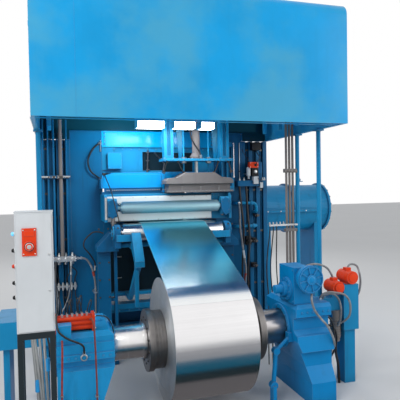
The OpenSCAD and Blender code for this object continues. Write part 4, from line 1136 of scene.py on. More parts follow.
class MILL_OT_lift(bpy.types.Operator):
    """Hose, hooks, flange bolts, nuts and ribs of the lift over the strip"""

    bl_idname = "mill.lift"
    bl_label = "Lift"
    plate = 3.845
    under = 3.8

    def execute(self, context):
        self.x, self.y, _ = middle("lift_cylinder")
        self.hose()
        self.hooks()
        self.nuts()
        self.ribs()
        return {"FINISHED"}

    def ribs(self):
        """Two tapered plates that stand on the lift plate behind the guide rods."""
        ribs, back, front = Parts(), self.y + 0.16, self.y + 0.14
        for top, left, right, foot_left, foot_right in ((4.62, 0.222, 0.36, 0.282, 0.345),
                (4.66, 0.945, 1.115, 0.998, 1.1)):
            ribs.prism("Y", [(left, top), (right, top), (foot_right, self.plate),
                (foot_left, self.plate)], front, back)
        # Their paint carries painted lamp light at the top.
        ribs.piece("lift_ribs", "machine_blue", "Lamp-lit rib paint", edge=0.003)

    def hose(self):
        hose, y, plate = Parts(), self.y - 0.085, self.plate
        end_x, end_y = 0.635, y - 0.07
        hose.hose([(0.5, y, 4.44), (0.44, y - 0.035, 4.41), (0.45, y - 0.05, 4.3),
            (0.475, y - 0.055, 4.197), (0.54, y - 0.065, 4.08), (0.61, end_y, 3.98),
            (end_x, end_y, plate + 0.05)], 0.014)
        hose.box((0.49, y - 0.02, 4.41), (0.56, y + 0.03, 4.47), slot=1)
        hose.rod((end_x, end_y, plate), (end_x, end_y, plate + 0.07), 0.024, 6, slot=1)
        hose.piece("lift_hose", "hose_rubber", "Black rubber", "Zinc")

    def hooks(self):
        """Bent rods under the plate that hold the cover by its ears."""
        hooks, y, under = Parts(), self.y - 0.13, self.under
        for foot, bend, top_x in (((-0.086, 3.59), (-0.055, 3.69), -0.02),
                ((0.306, 3.57), (0.245, 3.67), 0.192), ((0.9, 3.57), (0.96, 3.67), 1),
                ((1.26, 3.6), (1.235, 3.69), 1.2)):
            hooks.hose(on(y, foot, bend, (top_x, under + 0.01)), 0.01, sides=10, steps=5)
            hooks.rod((top_x, y, under - 0.035), (top_x, y, under), 0.024, 6)
            hooks.ring((foot[0], y - 0.01, foot[1]), Y, 0.013, 0.03, 0.02, 16)
        hooks.piece("lift_hooks", "dark_steel")

    def nuts(self):
        nuts, size, x, y, plate = Parts(), sizes().bolt, self.x, self.y, self.plate
        nuts.rod((x, y, 3.57), (x, y, self.under), 0.032, 32)
        for flange in (x - 0.56, x + 0.56):
            xs, ys = (flange - 0.095, flange + 0.095), (y - 0.1, y + 0.1)
            nuts.bolts(grid(xs, ys, plate), Z, size * 0.8)
        nuts.bolts(round_places((x, y, plate), Z, 0.15, 8), Z, size * 0.7)
        nut = [(0.055, 0), (0.055, 0.03), (0.048, 0.036)]
        for rod_x in (x - 0.25, x + 0.25):
            nuts.turned((rod_x, y, plate), Z, nut, 6)
            nuts.turned((rod_x, y, self.under), -Z, nut, 6)
        low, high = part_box("lift_frame")
        front = spaced(low.x + 0.05, high.x - 0.05, 12)
        nuts.bolts(grid(front, low.y, plate - 0.022), -Y, 0.02, slot=1)
        nuts.piece("lift_nuts", "bright_steel", "Zinc", "Machine paint", smooth=30)


# Deflector roll and its brackets


class MILL_OT_brackets(bpy.types.Operator):
    """Bearing covers, guards and bolts of the deflector and exit roll brackets"""

    bl_idname = "mill.brackets"
    bl_label = "Roll brackets"

    def execute(self, context):
        _, self.y, self.z = middle("deflector_roll")
        covers, bolts = Parts(), Parts()
        for side in (-1, 1):
            for way in (-1, 1):
                self.bearing(covers, bolts, side, way)
        self.guards(covers)
        covers.piece("bearing_covers", "machine_blue", edge=0.003)
        bolts.piece("bracket_bolts", "dark_steel")
        return {"FINISHED"}

    def guards(self, covers):
        """The plate on the threading arm, the guards of the roll's ends, and a hanging bar."""
        (top_y, top_z), (tip_y, tip_z), (out, up) = (-2.36, 2.5195), (-2.7, 2.0595), (-0.008, 0.006)
        covers.prism("X", [(top_y, top_z), (tip_y, tip_z), (tip_y + out, tip_z + up),
            (top_y + out, top_z + up)], -0.8, -0.64)
        low, high = 2.369, 2.493
        for near, far_end in ((-1.03, -0.786), (0.7, 1.03)):
            covers.box((near, -2.305, low), (far_end, -2.29, high))
        for near, far_end in ((-1.05, -1.028), (1.028, 1.05)):
            covers.box((near, -2.3, low), (far_end, -2.11, high))
        covers.box((-0.785, -2.52, 1.26), (-0.715, -2.48, 2.2))

    def bearing(self, covers, bolts, side, way):
        """One bearing on the entry side, way -1, or on the exit side, way 1."""
        outer, y, size, column = 1.07, -way * self.y, sizes().small_bolt, 1.73
        covers.turned((side * outer, y, self.z), X * side,
            [(0.128, 0), (0.128, 0.026), (0.12, 0.032), (0.072, 0.032), (0.066, 0.05), (0.04, 0.05)], 40)
        bolts.bolts(round_places((side * (outer + 0.032), y, self.z), X, 0.1, 8), X * side, size)
        cap = grid(side * 1.02, y + way * 0.155, (self.z - 0.1, self.z + 0.1))
        bolts.bolts(cap, Y * way, size)
        for z in (1.3, 1.62, 1.94, 2.26, 2.56):
            bolts.bolts(grid((side * 1.13, side * 1.3), way * column, z), Y * way, size * 1.1)


# Coil and reel


class MILL_OT_coil(bpy.types.Operator):
    """Wound edges of the coil, each winding standing out by a small random step"""

    bl_idname = "mill.coil"
    bl_label = "Coil"

    def execute(self, context):
        low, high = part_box("coil")
        _, y, z = middle("coil")
        inner, outer = 0.418, (high.z - low.z) / 2
        flush, sunk, step, groove = 0.0004, -0.01, 0.0035, 0.0015
        random.seed(11)
        windings = Parts()
        for side in (-1, 1):
            steps = spaced(inner, outer - 0.004, 27)
            profile = [(inner, flush)]
            for r0, r1 in zip(steps, steps[1:]):
                proud = groove + step * random.random()
                profile += [(r0 + groove, proud), (r1 - groove, proud), (r1, flush)]
            profile += [(outer - 0.004, sunk), (inner, sunk)]
            windings.turned((side * high.x, y, z), X * side, profile, 96, ring=True)
        windings.piece("coil_windings", "strip_steel", "Coil edge", body="reel", smooth=20)
        return {"FINISHED"}


class MILL_OT_mandrel(bpy.types.Operator):
    """Drum bands, flange bolts and shaft sleeves of the reel mandrel"""

    bl_idname = "mill.mandrel"
    bl_label = "Mandrel"

    def execute(self, context):
        _, y, z = middle("reel_mandrel")
        sleeves, drums, bolts = Parts(), Parts(), Parts()
        sleeves.turned((-1.345, y, z), X, [(0.237, 0), (0.24, 0.006), (0.24, 0.44), (0.262, 0.44),
            (0.262, 0.49), (0.256, 0.496)], 72)
        sleeves.turned((0.905, y, z), X, [(0.3, 0), (0.3, 0.03), (0.268, 0.036), (0.265, 0.06),
            (0.265, 0.425), (0.262, 0.432)], 72, slot=1)
        rim, disc, shoulder = 0.4475, 0.4865, 0.478
        drums.turned((-0.845, y, z), X, [(0.446, 0.004), (rim, 0.01), (rim, 0.034), (0.441, 0.038),
            (0.441, 0.05), (rim, 0.054), (rim, 0.078), (0.446, 0.084), (0.4, 0.084), (0.4, 0.004)], 96,
            ring=True)
        self.bands(drums, (-0.735, -0.69, -0.645), y, z, 0.41, 0.419)
        drums.turned((0.798, y, z), X, [(0.46, 0.002), (disc, 0.01), (disc, 0.04), (shoulder, 0.046),
            (shoulder, 0.06), (disc, 0.066), (disc, 0.094), (shoulder, 0.102), (0.4, 0.104),
            (0.4, 0.002)], 96, ring=True)
        self.bands(drums, (0.64, 0.7, 0.76), y, z, 0.366, 0.374)
        size = sizes().bolt
        bolts.bolts(round_places((-0.845, y, z), X, 0.33, 12), -X, size * 0.55)
        bolts.bolts(round_places((0.904, y, z), X, 0.4, 16), X, size * 0.7)
        sleeves.piece("shaft_sleeves", "shaft_steel", "Shaft steel", "Worn steel", body="reel")
        drums.piece("drum_bands", "shaft_steel", body="reel")
        bolts.piece("mandrel_bolts", "dark_steel", body="reel")
        return {"FINISHED"}

    def bands(self, drums, xs, y, z, inner, outer):
        """Narrow bands round the drum."""
        profile = [(inner, 0), (outer, 0.003), (outer, 0.022), (inner, 0.025)]
        for x in xs:
            drums.turned((x, y, z), X, profile, 96, ring=True)


class MILL_OT_gearbox(bpy.types.Operator):
    """Shaft cover, lids, bolts, sight ring and hoses of the left reel gearbox"""

    bl_idname = "mill.gearbox"
    bl_label = "Gearbox"

    def execute(self, context):
        self.low, self.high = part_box("reel_gearbox")
        _, self.y, self.z = middle("reel_mandrel")
        self.covers()
        self.step_block()
        self.sight_ring()
        self.hoses()
        return {"FINISHED"}

    def covers(self):
        covers, bolts, size = Parts(), Parts(), sizes().small_bolt
        left, right, top, y, z = self.low.x, self.high.x, self.high.z, self.y, self.z
        covers.turned((right, y, z), X, [(0.255, 0), (0.33, 0), (0.33, 0.02), (0.322, 0.028),
            (0.255, 0.028)], 72, ring=True)
        bolts.bolts(round_places((right + 0.028, y, z), X, 0.292, 12), X, size)
        covers.turned((left, y, z), -X, [(0.36, 0), (0.36, 0.01), (0.352, 0.016), (0.1, 0.016)], 64)
        bolts.bolts(round_places((left - 0.016, y, z), X, 0.325, 14), -X, 0.004 + size * 0.6)
        lid = top + 0.014
        covers.box((left + 0.08, y + 0.02, top), (right - 0.1, y + 0.4, lid))
        xs = spaced(left + 0.11, right - 0.13, 6)
        bolts.bolts(grid(xs, (y + 0.05, y + 0.37), lid), Z, size)
        for x in spaced(left + 0.06, right - 0.06, 8):
            for s in (-1, 1):
                bolts.bolt((x, y + s * 0.545, 1.1), Y * s, size)
        covers.piece("gearbox_covers", "azure_paint", edge=0.003)
        bolts.piece("gearbox_bolts", "bright_steel", "Azure paint")

    def step_block(self):
        """The block in front of the brake that the hoses start from, and its drain line."""
        block, line, face, left = Parts(), Parts(), self.y - 0.6, self.low.x
        block.box((left, face, 1.355), (-1.905, face + 0.16, 1.55))
        block.box((left - 0.006, face - 0.006, 1.535), (-1.9, face + 0.165, 1.556))
        block.piece("gearbox_block", "azure_paint", edge=0.004)
        line.hose([(-1.6, -4, 1.56), (-1.537, -4, 1.566), (-1.43, -3.99, 1.537), (-1.364, -3.98, 1.448),
            (-1.332, -3.97, 1.33), (-1.345, -3.96, 1.25)], 0.009, sides=8, steps=6)
        line.piece("drain_line", "hose_rubber")

    def sight_ring(self):
        """A small ring with a glass, low on the front of the gearbox."""
        ring, at = Parts(), (-1.749, self.y - 0.545, 1.105)
        ring.turned(at, -Y, [(0.03, 0), (0.046, 0), (0.046, 0.02), (0.04, 0.026), (0.03, 0.026)], 28,
            ring=True)
        ring.turned(at, -Y, [(0.03, 0), (0.03, 0.012), (0.02, 0.014)], 24, slot=1)
        ring.piece("sight_ring", "bright_steel", "Zinc", "Azure paint")

    def hoses(self):
        """The grease line and the two red hoses down the front of the gearbox."""
        grease, red, x, front = Parts(), Parts(), -1.749, self.low.y
        grease.hose([(-2.063, -1.5, 1.974), (-2.075, -1.95, 1.74), (-2.075, -2.5, 1.6),
            (-2.07, -3.3, 1.66), (-2.075, -4.1, 1.716), (-2.085, -4.27, 1.62), (-2.06, -4.345, 1.5),
            (-1.985, -4.35, 1.42), (-1.919, -4.345, 1.375), (-1.85, -4.33, 1.335),
            (-1.795, -4.325, 1.305), (-1.752, -4.31, 1.25), (x, -4.3, 1.155)], 0.013, sides=10, steps=6)
        grease.rod((x, self.y - 0.58, 1.15), (x, self.y - 0.565, 1.19), 0.018, 6, slot=1)
        grease.piece("grease_hose", "hose_rubber", "Black rubber", "Zinc")
        hang, clip = front - 0.024, front - 0.022
        red.hose([(-2.02, -4.3, 1.37), (-2.02, -4.345, 1.335), (-2.022, clip, 1.2),
            *on(hang, (-2.038, 0.686), (-2.04, 0.3), (-2.04, 0.02))], 0.013, sides=10)
        red.hose([(-1.66, -4.17, 1.57), (-1.635, -4.3, 1.6), (-1.618, clip, 1.46),
            *on(hang, (-1.604, 0.9), (-1.602, 0.623), (-1.602, 0.02))], 0.012, sides=10, slot=2)
        for x, z in ((-2.038, 0.3), (-2.038, 0.68), (-1.603, 0.3), (-1.603, 0.62)):
            red.box((x - 0.02, front - 0.04, z - 0.008), (x + 0.02, front + 0.02, z + 0.008), slot=1)
        red.piece("red_hoses", "hose_rubber", "Red rubber", "Zinc", "Brown rubber")


class MILL_OT_brake(bpy.types.Operator):
    """Tie rod nuts, ports, plugs and cable loops of the orange brake unit"""

    bl_idname = "mill.brake"
    bl_label = "Brake unit"

    def execute(self, context):
        low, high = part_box("brake_unit")
        _, y, _ = middle("brake_unit")
        nuts, loops, top, lid = Parts(), Parts(), high.z, high.z - 0.205
        for x, way in ((low.x, -X), (high.x, X)):
            nuts.bolts(grid(x, (y - 0.085, y + 0.085), (low.z + 0.03, top - 0.03)), way,
                sizes().small_bolt)
        for i, x in enumerate(spaced(low.x + 0.1, high.x - 0.1, 6)):
            port, plug, base = y - 0.03, y + 0.06, top - 0.055
            nuts.rod((x, port, base), (x, port, top + 0.02), 0.016, 6)
            nuts.rod((x, plug, base), (x, plug, top + 0.012), 0.012, 12)
            reach, way = 0.24 - 0.035 * (i % 3), 0.06 if i % 2 else -0.045
            loops.hose([(x, port, top + 0.015), (x + way * 0.4, y - 0.04, top + reach * 0.7),
                (x + way, y + 0.02, top + reach), (x + way * 1.3, y + 0.18, top + reach * 0.55),
                (x + way, y + 0.42, top - 0.1), (x + way, y + 0.55, lid)], 0.0075, sides=8, steps=6)
        nuts.piece("brake_fittings", "bright_steel")
        loops.piece("brake_cables", "hose_rubber")
        return {"FINISHED"}


class MILL_OT_outboard(bpy.types.Operator):
    """Covers, bolts, ribs and linkage of the right outboard support and its head"""

    bl_idname = "mill.outboard"
    bl_label = "Outboard support"

    def execute(self, context):
        self.low, self.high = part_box("outboard_support")
        _, self.y, self.z = middle("reel_mandrel")
        self.support()
        self.head()
        self.linkage()
        return {"FINISHED"}

    def support(self):
        covers, bolts, size = Parts(), Parts(), sizes().small_bolt
        x, y, z = self.low.x, self.y, self.z
        covers.turned((x, y, z), -X, [(0.272, 0), (0.345, 0), (0.345, 0.022), (0.336, 0.03),
            (0.272, 0.03)], 72, ring=True)
        bolts.bolts(round_places((x - 0.03, y, z), X, 0.31, 12), -X, size * 1.1)
        for xs, out, z, width in ((spaced(x + 0.1, self.high.x - 0.05, 6), 0.52, 1.375, size),
                ((1.6, 1.88), 0.6, 0.2, sizes().bolt)):
            for at in xs:
                for s in (-1, 1):
                    bolts.bolt((at, y + s * out, z), Y * s, width)
        covers.piece("support_covers", "azure_paint", "Support shaded paint", edge=0.003)
        bolts.piece("support_bolts", "bright_steel", "Support shaded paint")

    def head(self):
        """Ribbed disc, bolt circle and hub of the round head."""
        head, bolts, size = Parts(), Parts(), sizes().small_bolt
        low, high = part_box("outboard_head")
        x, z, face = 1.56, 1.89, low.y + 0.03
        centre = Vector((x, face, z))
        head.ring((x, face + 0.002, z), -Y, 0.185, 0.198, 0.02, 56)
        for k in range(8):
            a = math.tau * k / 8 + 0.2
            way = Vector((math.cos(a), 0, math.sin(a)))
            side = Vector((-math.sin(a), 0, math.cos(a))) * 0.008
            inner, outer = centre + way * 0.075, centre + way * 0.19
            points = [inner - side, outer - side, outer + side, inner + side]
            head.add(points + [p - Y * 0.018 for p in points],
                [[0, 1, 2, 3], [7, 6, 5, 4], [0, 4, 5, 1], [1, 5, 6, 2], [2, 6, 7, 3], [3, 7, 4, 0]])
        head.turned((x, low.y, z), -Y, [(0.055, 0), (0.055, 0), (0.048, 0.004)], 32)
        bolts.bolts(round_places((x, face, z), Y, 0.13, 8, 0.6), -Y, size)
        for side, way in ((1.37, -X), (high.x - 0.14, X)):
            bolts.bolts([(side, y, z) for z in (1.53, 2.01) for y in (-3.7, -4.11)], way, size)
        bolts.bolts(round_places((1.33, -3.92, 1.7), X, 0.15, 10), -X, size)
        head.piece("head_rings", "azure_paint", "Support shaded paint", edge=0.002)
        bolts.piece("head_bolts", "machine_blue", "Support shaded paint")

    def linkage(self):
        """The lever and rod at the inner foot of the support."""
        link = Parts()
        pivot, knee, foot = (1.34, -4.05, 0.985), (1.085, -4.08, 0.8), (1.02, -4.12, 0.3)
        link.rod(pivot, knee, 0.03, 16)
        link.rod(knee, foot, 0.034, 16)
        for (x, y, z), r in ((knee, 0.055), (foot, 0.06)):
            link.turned((x, y - 0.045, z), Y, [(r, 0), (r, 0.09)], 28)
        x, y, top = foot
        link.box((x - 0.09, y - 0.09, 0), (x + 0.09, y + 0.09, 0.03))
        link.box((x - 0.03, y - 0.06, 0.03), (x + 0.03, y + 0.06, top))
        x, y, z = pivot
        link.box((x - 0.05, y - 0.06, z - 0.07), (self.low.x + 0.05, y + 0.06, z + 0.07))
        link.piece("support_linkage", "machine_blue", "Support shaded paint", edge=0.004)


# Routes of the hoses between the motors, the support and the unit's post
GREY_ROUTES = (
    ((1.603, -4.18, 1.705), (1.596, -4.27, 1.66), (1.568, -4.32, 1.581), (1.617, -4.32, 1.426),
     (1.717, -4.32, 1.295), (1.82, -4.33, 1.178), (1.903, -4.34, 1.017), (1.965, -4.3, 0.859),
     (1.995, -4.18, 0.76), (1.95, -4.08, 0.72)),
    ((1.9, -3.98, 1.47), (1.94, -3.99, 1.56), (2.06, -4, 1.595), (2.2, -4, 1.575),
     (2.355, -4, 1.527), (2.446, -4, 1.39), (2.444, -3.99, 1.196), (2.39, -3.9, 1.07),
     (2.36, -3.8, 1.03)),
    ((2.06, -3.76, 1.38), (2.08, -3.83, 1.5), (2.199, -3.9, 1.536), (2.309, -3.9, 1.429),
     (2.345, -3.9, 1.26), (2.35, -3.86, 1.064), (2.35, -3.78, 0.96)),
    ((2.59, -3.71, 1.87), (2.64, -3.72, 1.96), (2.78, -3.72, 1.92), (2.83, -3.74, 1.7),
     (2.79, -3.76, 1.5), (2.71, -3.76, 1.4)),
    ((1.69, -3.8, 1.88), (1.76, -3.8, 1.99), (1.95, -3.78, 2.02), (2.17, -3.74, 1.95),
     (2.29, -3.71, 1.82), (2.33, -3.7, 1.72)),
)
BLACK_ROUTES = (
    ((1.95, -3.95, 1.2), (2.02, -3.97, 1.22), (2.12, -3.98, 1.12), (2.16, -3.98, 0.9),
     (2.12, -3.97, 0.66), (2.03, -3.96, 0.5), (1.95, -3.95, 0.46)),
    ((1.95, -3.9, 1.02), (2.05, -3.93, 1.06), (2.2, -3.93, 0.98), (2.24, -3.92, 0.74),
     (2.14, -3.9, 0.52), (1.95, -3.88, 0.4)),
)


class MILL_OT_side_unit(bpy.types.Operator):
    """Motor fins, terminal boxes, hoses and pump of the drive unit beside the support"""

    bl_idname = "mill.side_unit"
    bl_label = "Side unit"

    def execute(self, context):
        self.motors()
        self.hoses()
        self.pump()
        return {"FINISHED"}

    def motors(self):
        fins, body, fin = Parts(), 0.1, 0.108
        for x, z in ((2.335, 1.615), (2.59, 1.765)):
            for y in spaced(-3.78, -3.62, 7):
                fins.turned((x, y, z), Y, [(body, 0), (fin, 0.002), (fin, 0.01), (body, 0.012)], 32,
                    ring=True)
            fins.turned((x, -3.865, z), -Y, [(0.07, 0), (0.07, 0.02), (0.03, 0.026)], 28)
            fins.box((x - 0.045, -3.76, z + 0.08), (x + 0.045, -3.66, z + 0.15))
        fins.piece("motor_fins", "orange_paint", edge=0.002)

    def hoses(self):
        """Hoses along their routes, with a hexagon fitting at each end."""
        hoses, ends = Parts(), Parts()
        for route in GREY_ROUTES:
            hoses.hose(route, 0.017, steps=7)
            # Each end, and the point next to it
            for end, near in (route[:2], route[:-3:-1]):
                ends.turned(end, Vector(end) - Vector(near), [(0.024, -0.05), (0.024, 0.012)], 6)
        for route in BLACK_ROUTES:
            hoses.hose(route, 0.016, steps=7, slot=1)
            for end in (route[0], route[-1]):
                ends.turned(end, X, [(0.026, 0), (0.026, 0.03)], 6)
        hoses.piece("unit_hoses", "hose_rubber", "Grey rubber", "Black rubber")
        self.ends = ends

    def pump(self):
        pump, x, y = Parts(), 2.35, -3.72
        pump.turned((x, y, 0.7), Z, [(0.05, 0), (0.072, 0.012), (0.072, 0.06), (0.084, 0.07),
            (0.084, 0.4), (0.076, 0.42), (0.076, 0.525)], 36)
        for z in spaced(0.8, 1.06, 7):
            pump.turned((x, y, z), Z, [(0.083, 0), (0.092, 0.003), (0.092, 0.012), (0.083, 0.015)], 36,
                ring=True)
        pump.hose([(x, y, 0.72), (2.352, -3.725, 0.52), (2.38, -3.75, 0.3), (2.4, -3.74, 0)], 0.022,
            slot=1)
        pump.piece("pump", "pipe_grey", "Pipe paint", "Black rubber")
        self.ends.piece("unit_fittings", "bright_steel")


# Control box


class MILL_OT_control_box(bpy.types.Operator):
    """Door, hinges, lamps, button and conduits of the control box"""

    bl_idname = "mill.control_box"
    bl_label = "Control box"

    def execute(self, context):
        self.low, self.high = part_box("control_cabinet")
        self.door()
        self.buttons()
        self.lamps()
        self.conduits()
        return {"FINISHED"}

    def door(self):
        door, hinges, low, high = Parts(), Parts(), self.low, self.high
        gap, proud, rim = 0.016, 0.012, 0.004
        door.box((low.x + gap, low.y - proud, low.z + gap), (high.x - gap, low.y, high.z - gap))
        door.box((low.x - rim, low.y - 0.002, high.z), (high.x + rim, high.y + rim, high.z + proud))
        door.box((low.x + 0.05, high.y, low.z + 0.1), (high.x - 0.05, high.y + 0.006, high.z - 0.1))
        x, y, half = high.x - 0.01, low.y - 0.016, 0.04
        for z in (low.z + 0.16, high.z - 0.16):
            hinges.rod((x, y, z - half), (x, y, z + half), 0.008, 12)
        for z in (low.z + 0.45, high.z - 0.45):
            hinges.turned((high.x - 0.045, low.y - proud, z), -Y,
                [(0.012, 0), (0.012, 0.006), (0.009, 0.009)], 18)
        door.piece("cabinet_door", "cabinet_paint", "Control box paint", edge=0.003)
        hinges.piece("cabinet_hinges", "bright_steel")

    def buttons(self):
        low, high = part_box("button_panel")
        plate, knob, face = Parts(), Parts(), low.y + 0.04
        x, z = middle("button_panel")[0], low.z + 0.1
        plate.box((low.x + 0.02, face - 0.006, high.z - 0.085), (high.x - 0.02, face, high.z - 0.025))
        plate.turned((x, face, z), -Y, [(0.05, 0), (0.062, 0), (0.062, 0.012), (0.055, 0.016),
            (0.05, 0.016)], 40, ring=True)
        knob.turned((x, face - 0.001, z), -Y, [(0.042, 0), (0.042, 0.03), (0.034, 0.038), (0.012, 0.04)],
            40)
        for z in (low.z + 0.02, high.z - 0.02):
            for s in (-1, 1):
                knob.turned((x + s * 0.058, face, z), -Y, [(0.007, 0), (0.007, 0.004), (0.004, 0.006)],
                    12)
        plate.piece("button_plate", "orange_paint", edge=0.002)
        knob.piece("button_knob", "bright_steel")

    def lamps(self):
        """Signal lamps down the left side of the box: one blue, one red and three dark."""
        lamps, rims, black, blue, red = Parts(), Parts(), 0, 1, 2
        x, y = self.low.x, middle("control_cabinet")[1] - 0.02
        for z, slot in ((2.83, blue), (2.651, black), (2.481, red), (2.301, black), (2.142, black)):
            rims.turned((x, y, z), -X, [(0.034, 0), (0.034, 0.01), (0.028, 0.014)], 28)
            lamps.turned((x - 0.012, y, z), -X, [(0.022, 0), (0.022, 0.014), (0.016, 0.026),
                (0.006, 0.03)], 28, slot)
        rims.piece("lamp_rims", "bright_steel")
        lamps.piece("signal_lamps", "dark_steel", "Black paint", "Blue lens", "Red lens")

    def conduits(self):
        """Tubes and cables that run down between the legs, and the bolts of the feet."""
        low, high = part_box("cabinet_stand")
        top, y = high.z, middle("cabinet_stand")[1]
        tubes, cables, feet, edge = Parts(), Parts(), Parts(), 0.03
        for x, r, lean in ((-2.35, 0.016, 0.075), (-2.33, 0.02, 0.095), (-2.27, 0.016, 0.045),
                (-2.225, 0.016, 0.04)):
            tubes.hose([(x, y, top + 0.01), (x + lean * 0.5, y - 0.01, 1.3), (x + lean, y, 0.7),
                (x + lean, y, 0)], r)
        for x, z in ((-2.296, 1.08), (-2.26, 0.8), (-2.187, 1.3), (-2.187, 0.55)):
            cables.rod((x, y - 0.004, z), (x, y - 0.004, z + 0.14), 0.027, 16, slot=1)
        cables.hose([(-2.21, y + 0.05, top), (-2.15, y - 0.02, 1.5), (-2.13, y - 0.06, 1.2),
            (-2.16, y - 0.05, 0.8), (-2.15, y, 0.3), (-2.15, y, 0)], 0.01, sides=8, steps=6)
        feet.bolts(grid((low.x + edge, high.x - edge), (low.y + edge, high.y - edge), 0.012), Z, 0.02)
        tubes.piece("stand_conduits", "bright_steel")
        cables.piece("stand_cables", "hose_rubber", "Black rubber", "Blue sleeve")
        feet.piece("stand_bolts", "bright_steel")


# Drive guard


class MILL_OT_drive_guard(bpy.types.Operator):
    """Lid, rail, flange bolts and lifting eyes of the drum over the drive spindles"""

    bl_idname = "mill.drive_guard"
    bl_label = "Drive guard"

    def execute(self, context):
        low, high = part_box("drive_guard")
        z = (low.z + high.z) / 2
        trim, bolts, drum = Parts(), Parts(), (high.z - low.z) / 2 - 0.045
        front, under, over, half = -0.63, 2.68, 2.73, 0.006
        back = 0.03 - math.sqrt(drum ** 2 - (over - z) ** 2)
        trim.box((2.54, back, under), (3.96, front, over))
        for x in spaced(2.6, 3.9, 5):
            trim.prism("X", [(front, under), (back, under), (back + 0.03, under - 0.08)], x - half,
                x + half)
            bolts.bolt((x, front, (under + over) / 2), -Y, 0.022)
        for x in (2.2, 3.75):
            trim.box((x - 0.07, -0.05, z + drum - 0.01), (x + 0.07, 0.05, z + drum + 0.01))
            trim.ring((x, -0.012, z + drum + 0.04), Y, 0.02, 0.036, 0.024, 24)
        trim.turned((high.x, 0, z), X, [(0.42, 0), (0.42, 0.01), (0.412, 0.016)], 64)
        bolts.bolts(round_places((high.x, 0, z), X, drum - 0.06, 20), X, sizes().bolt * 0.7)
        trim.piece("guard_trim", "machine_blue", edge=0.003)
        bolts.piece("guard_bolts", "bright_steel")
        return {"FINISHED"}


# Services


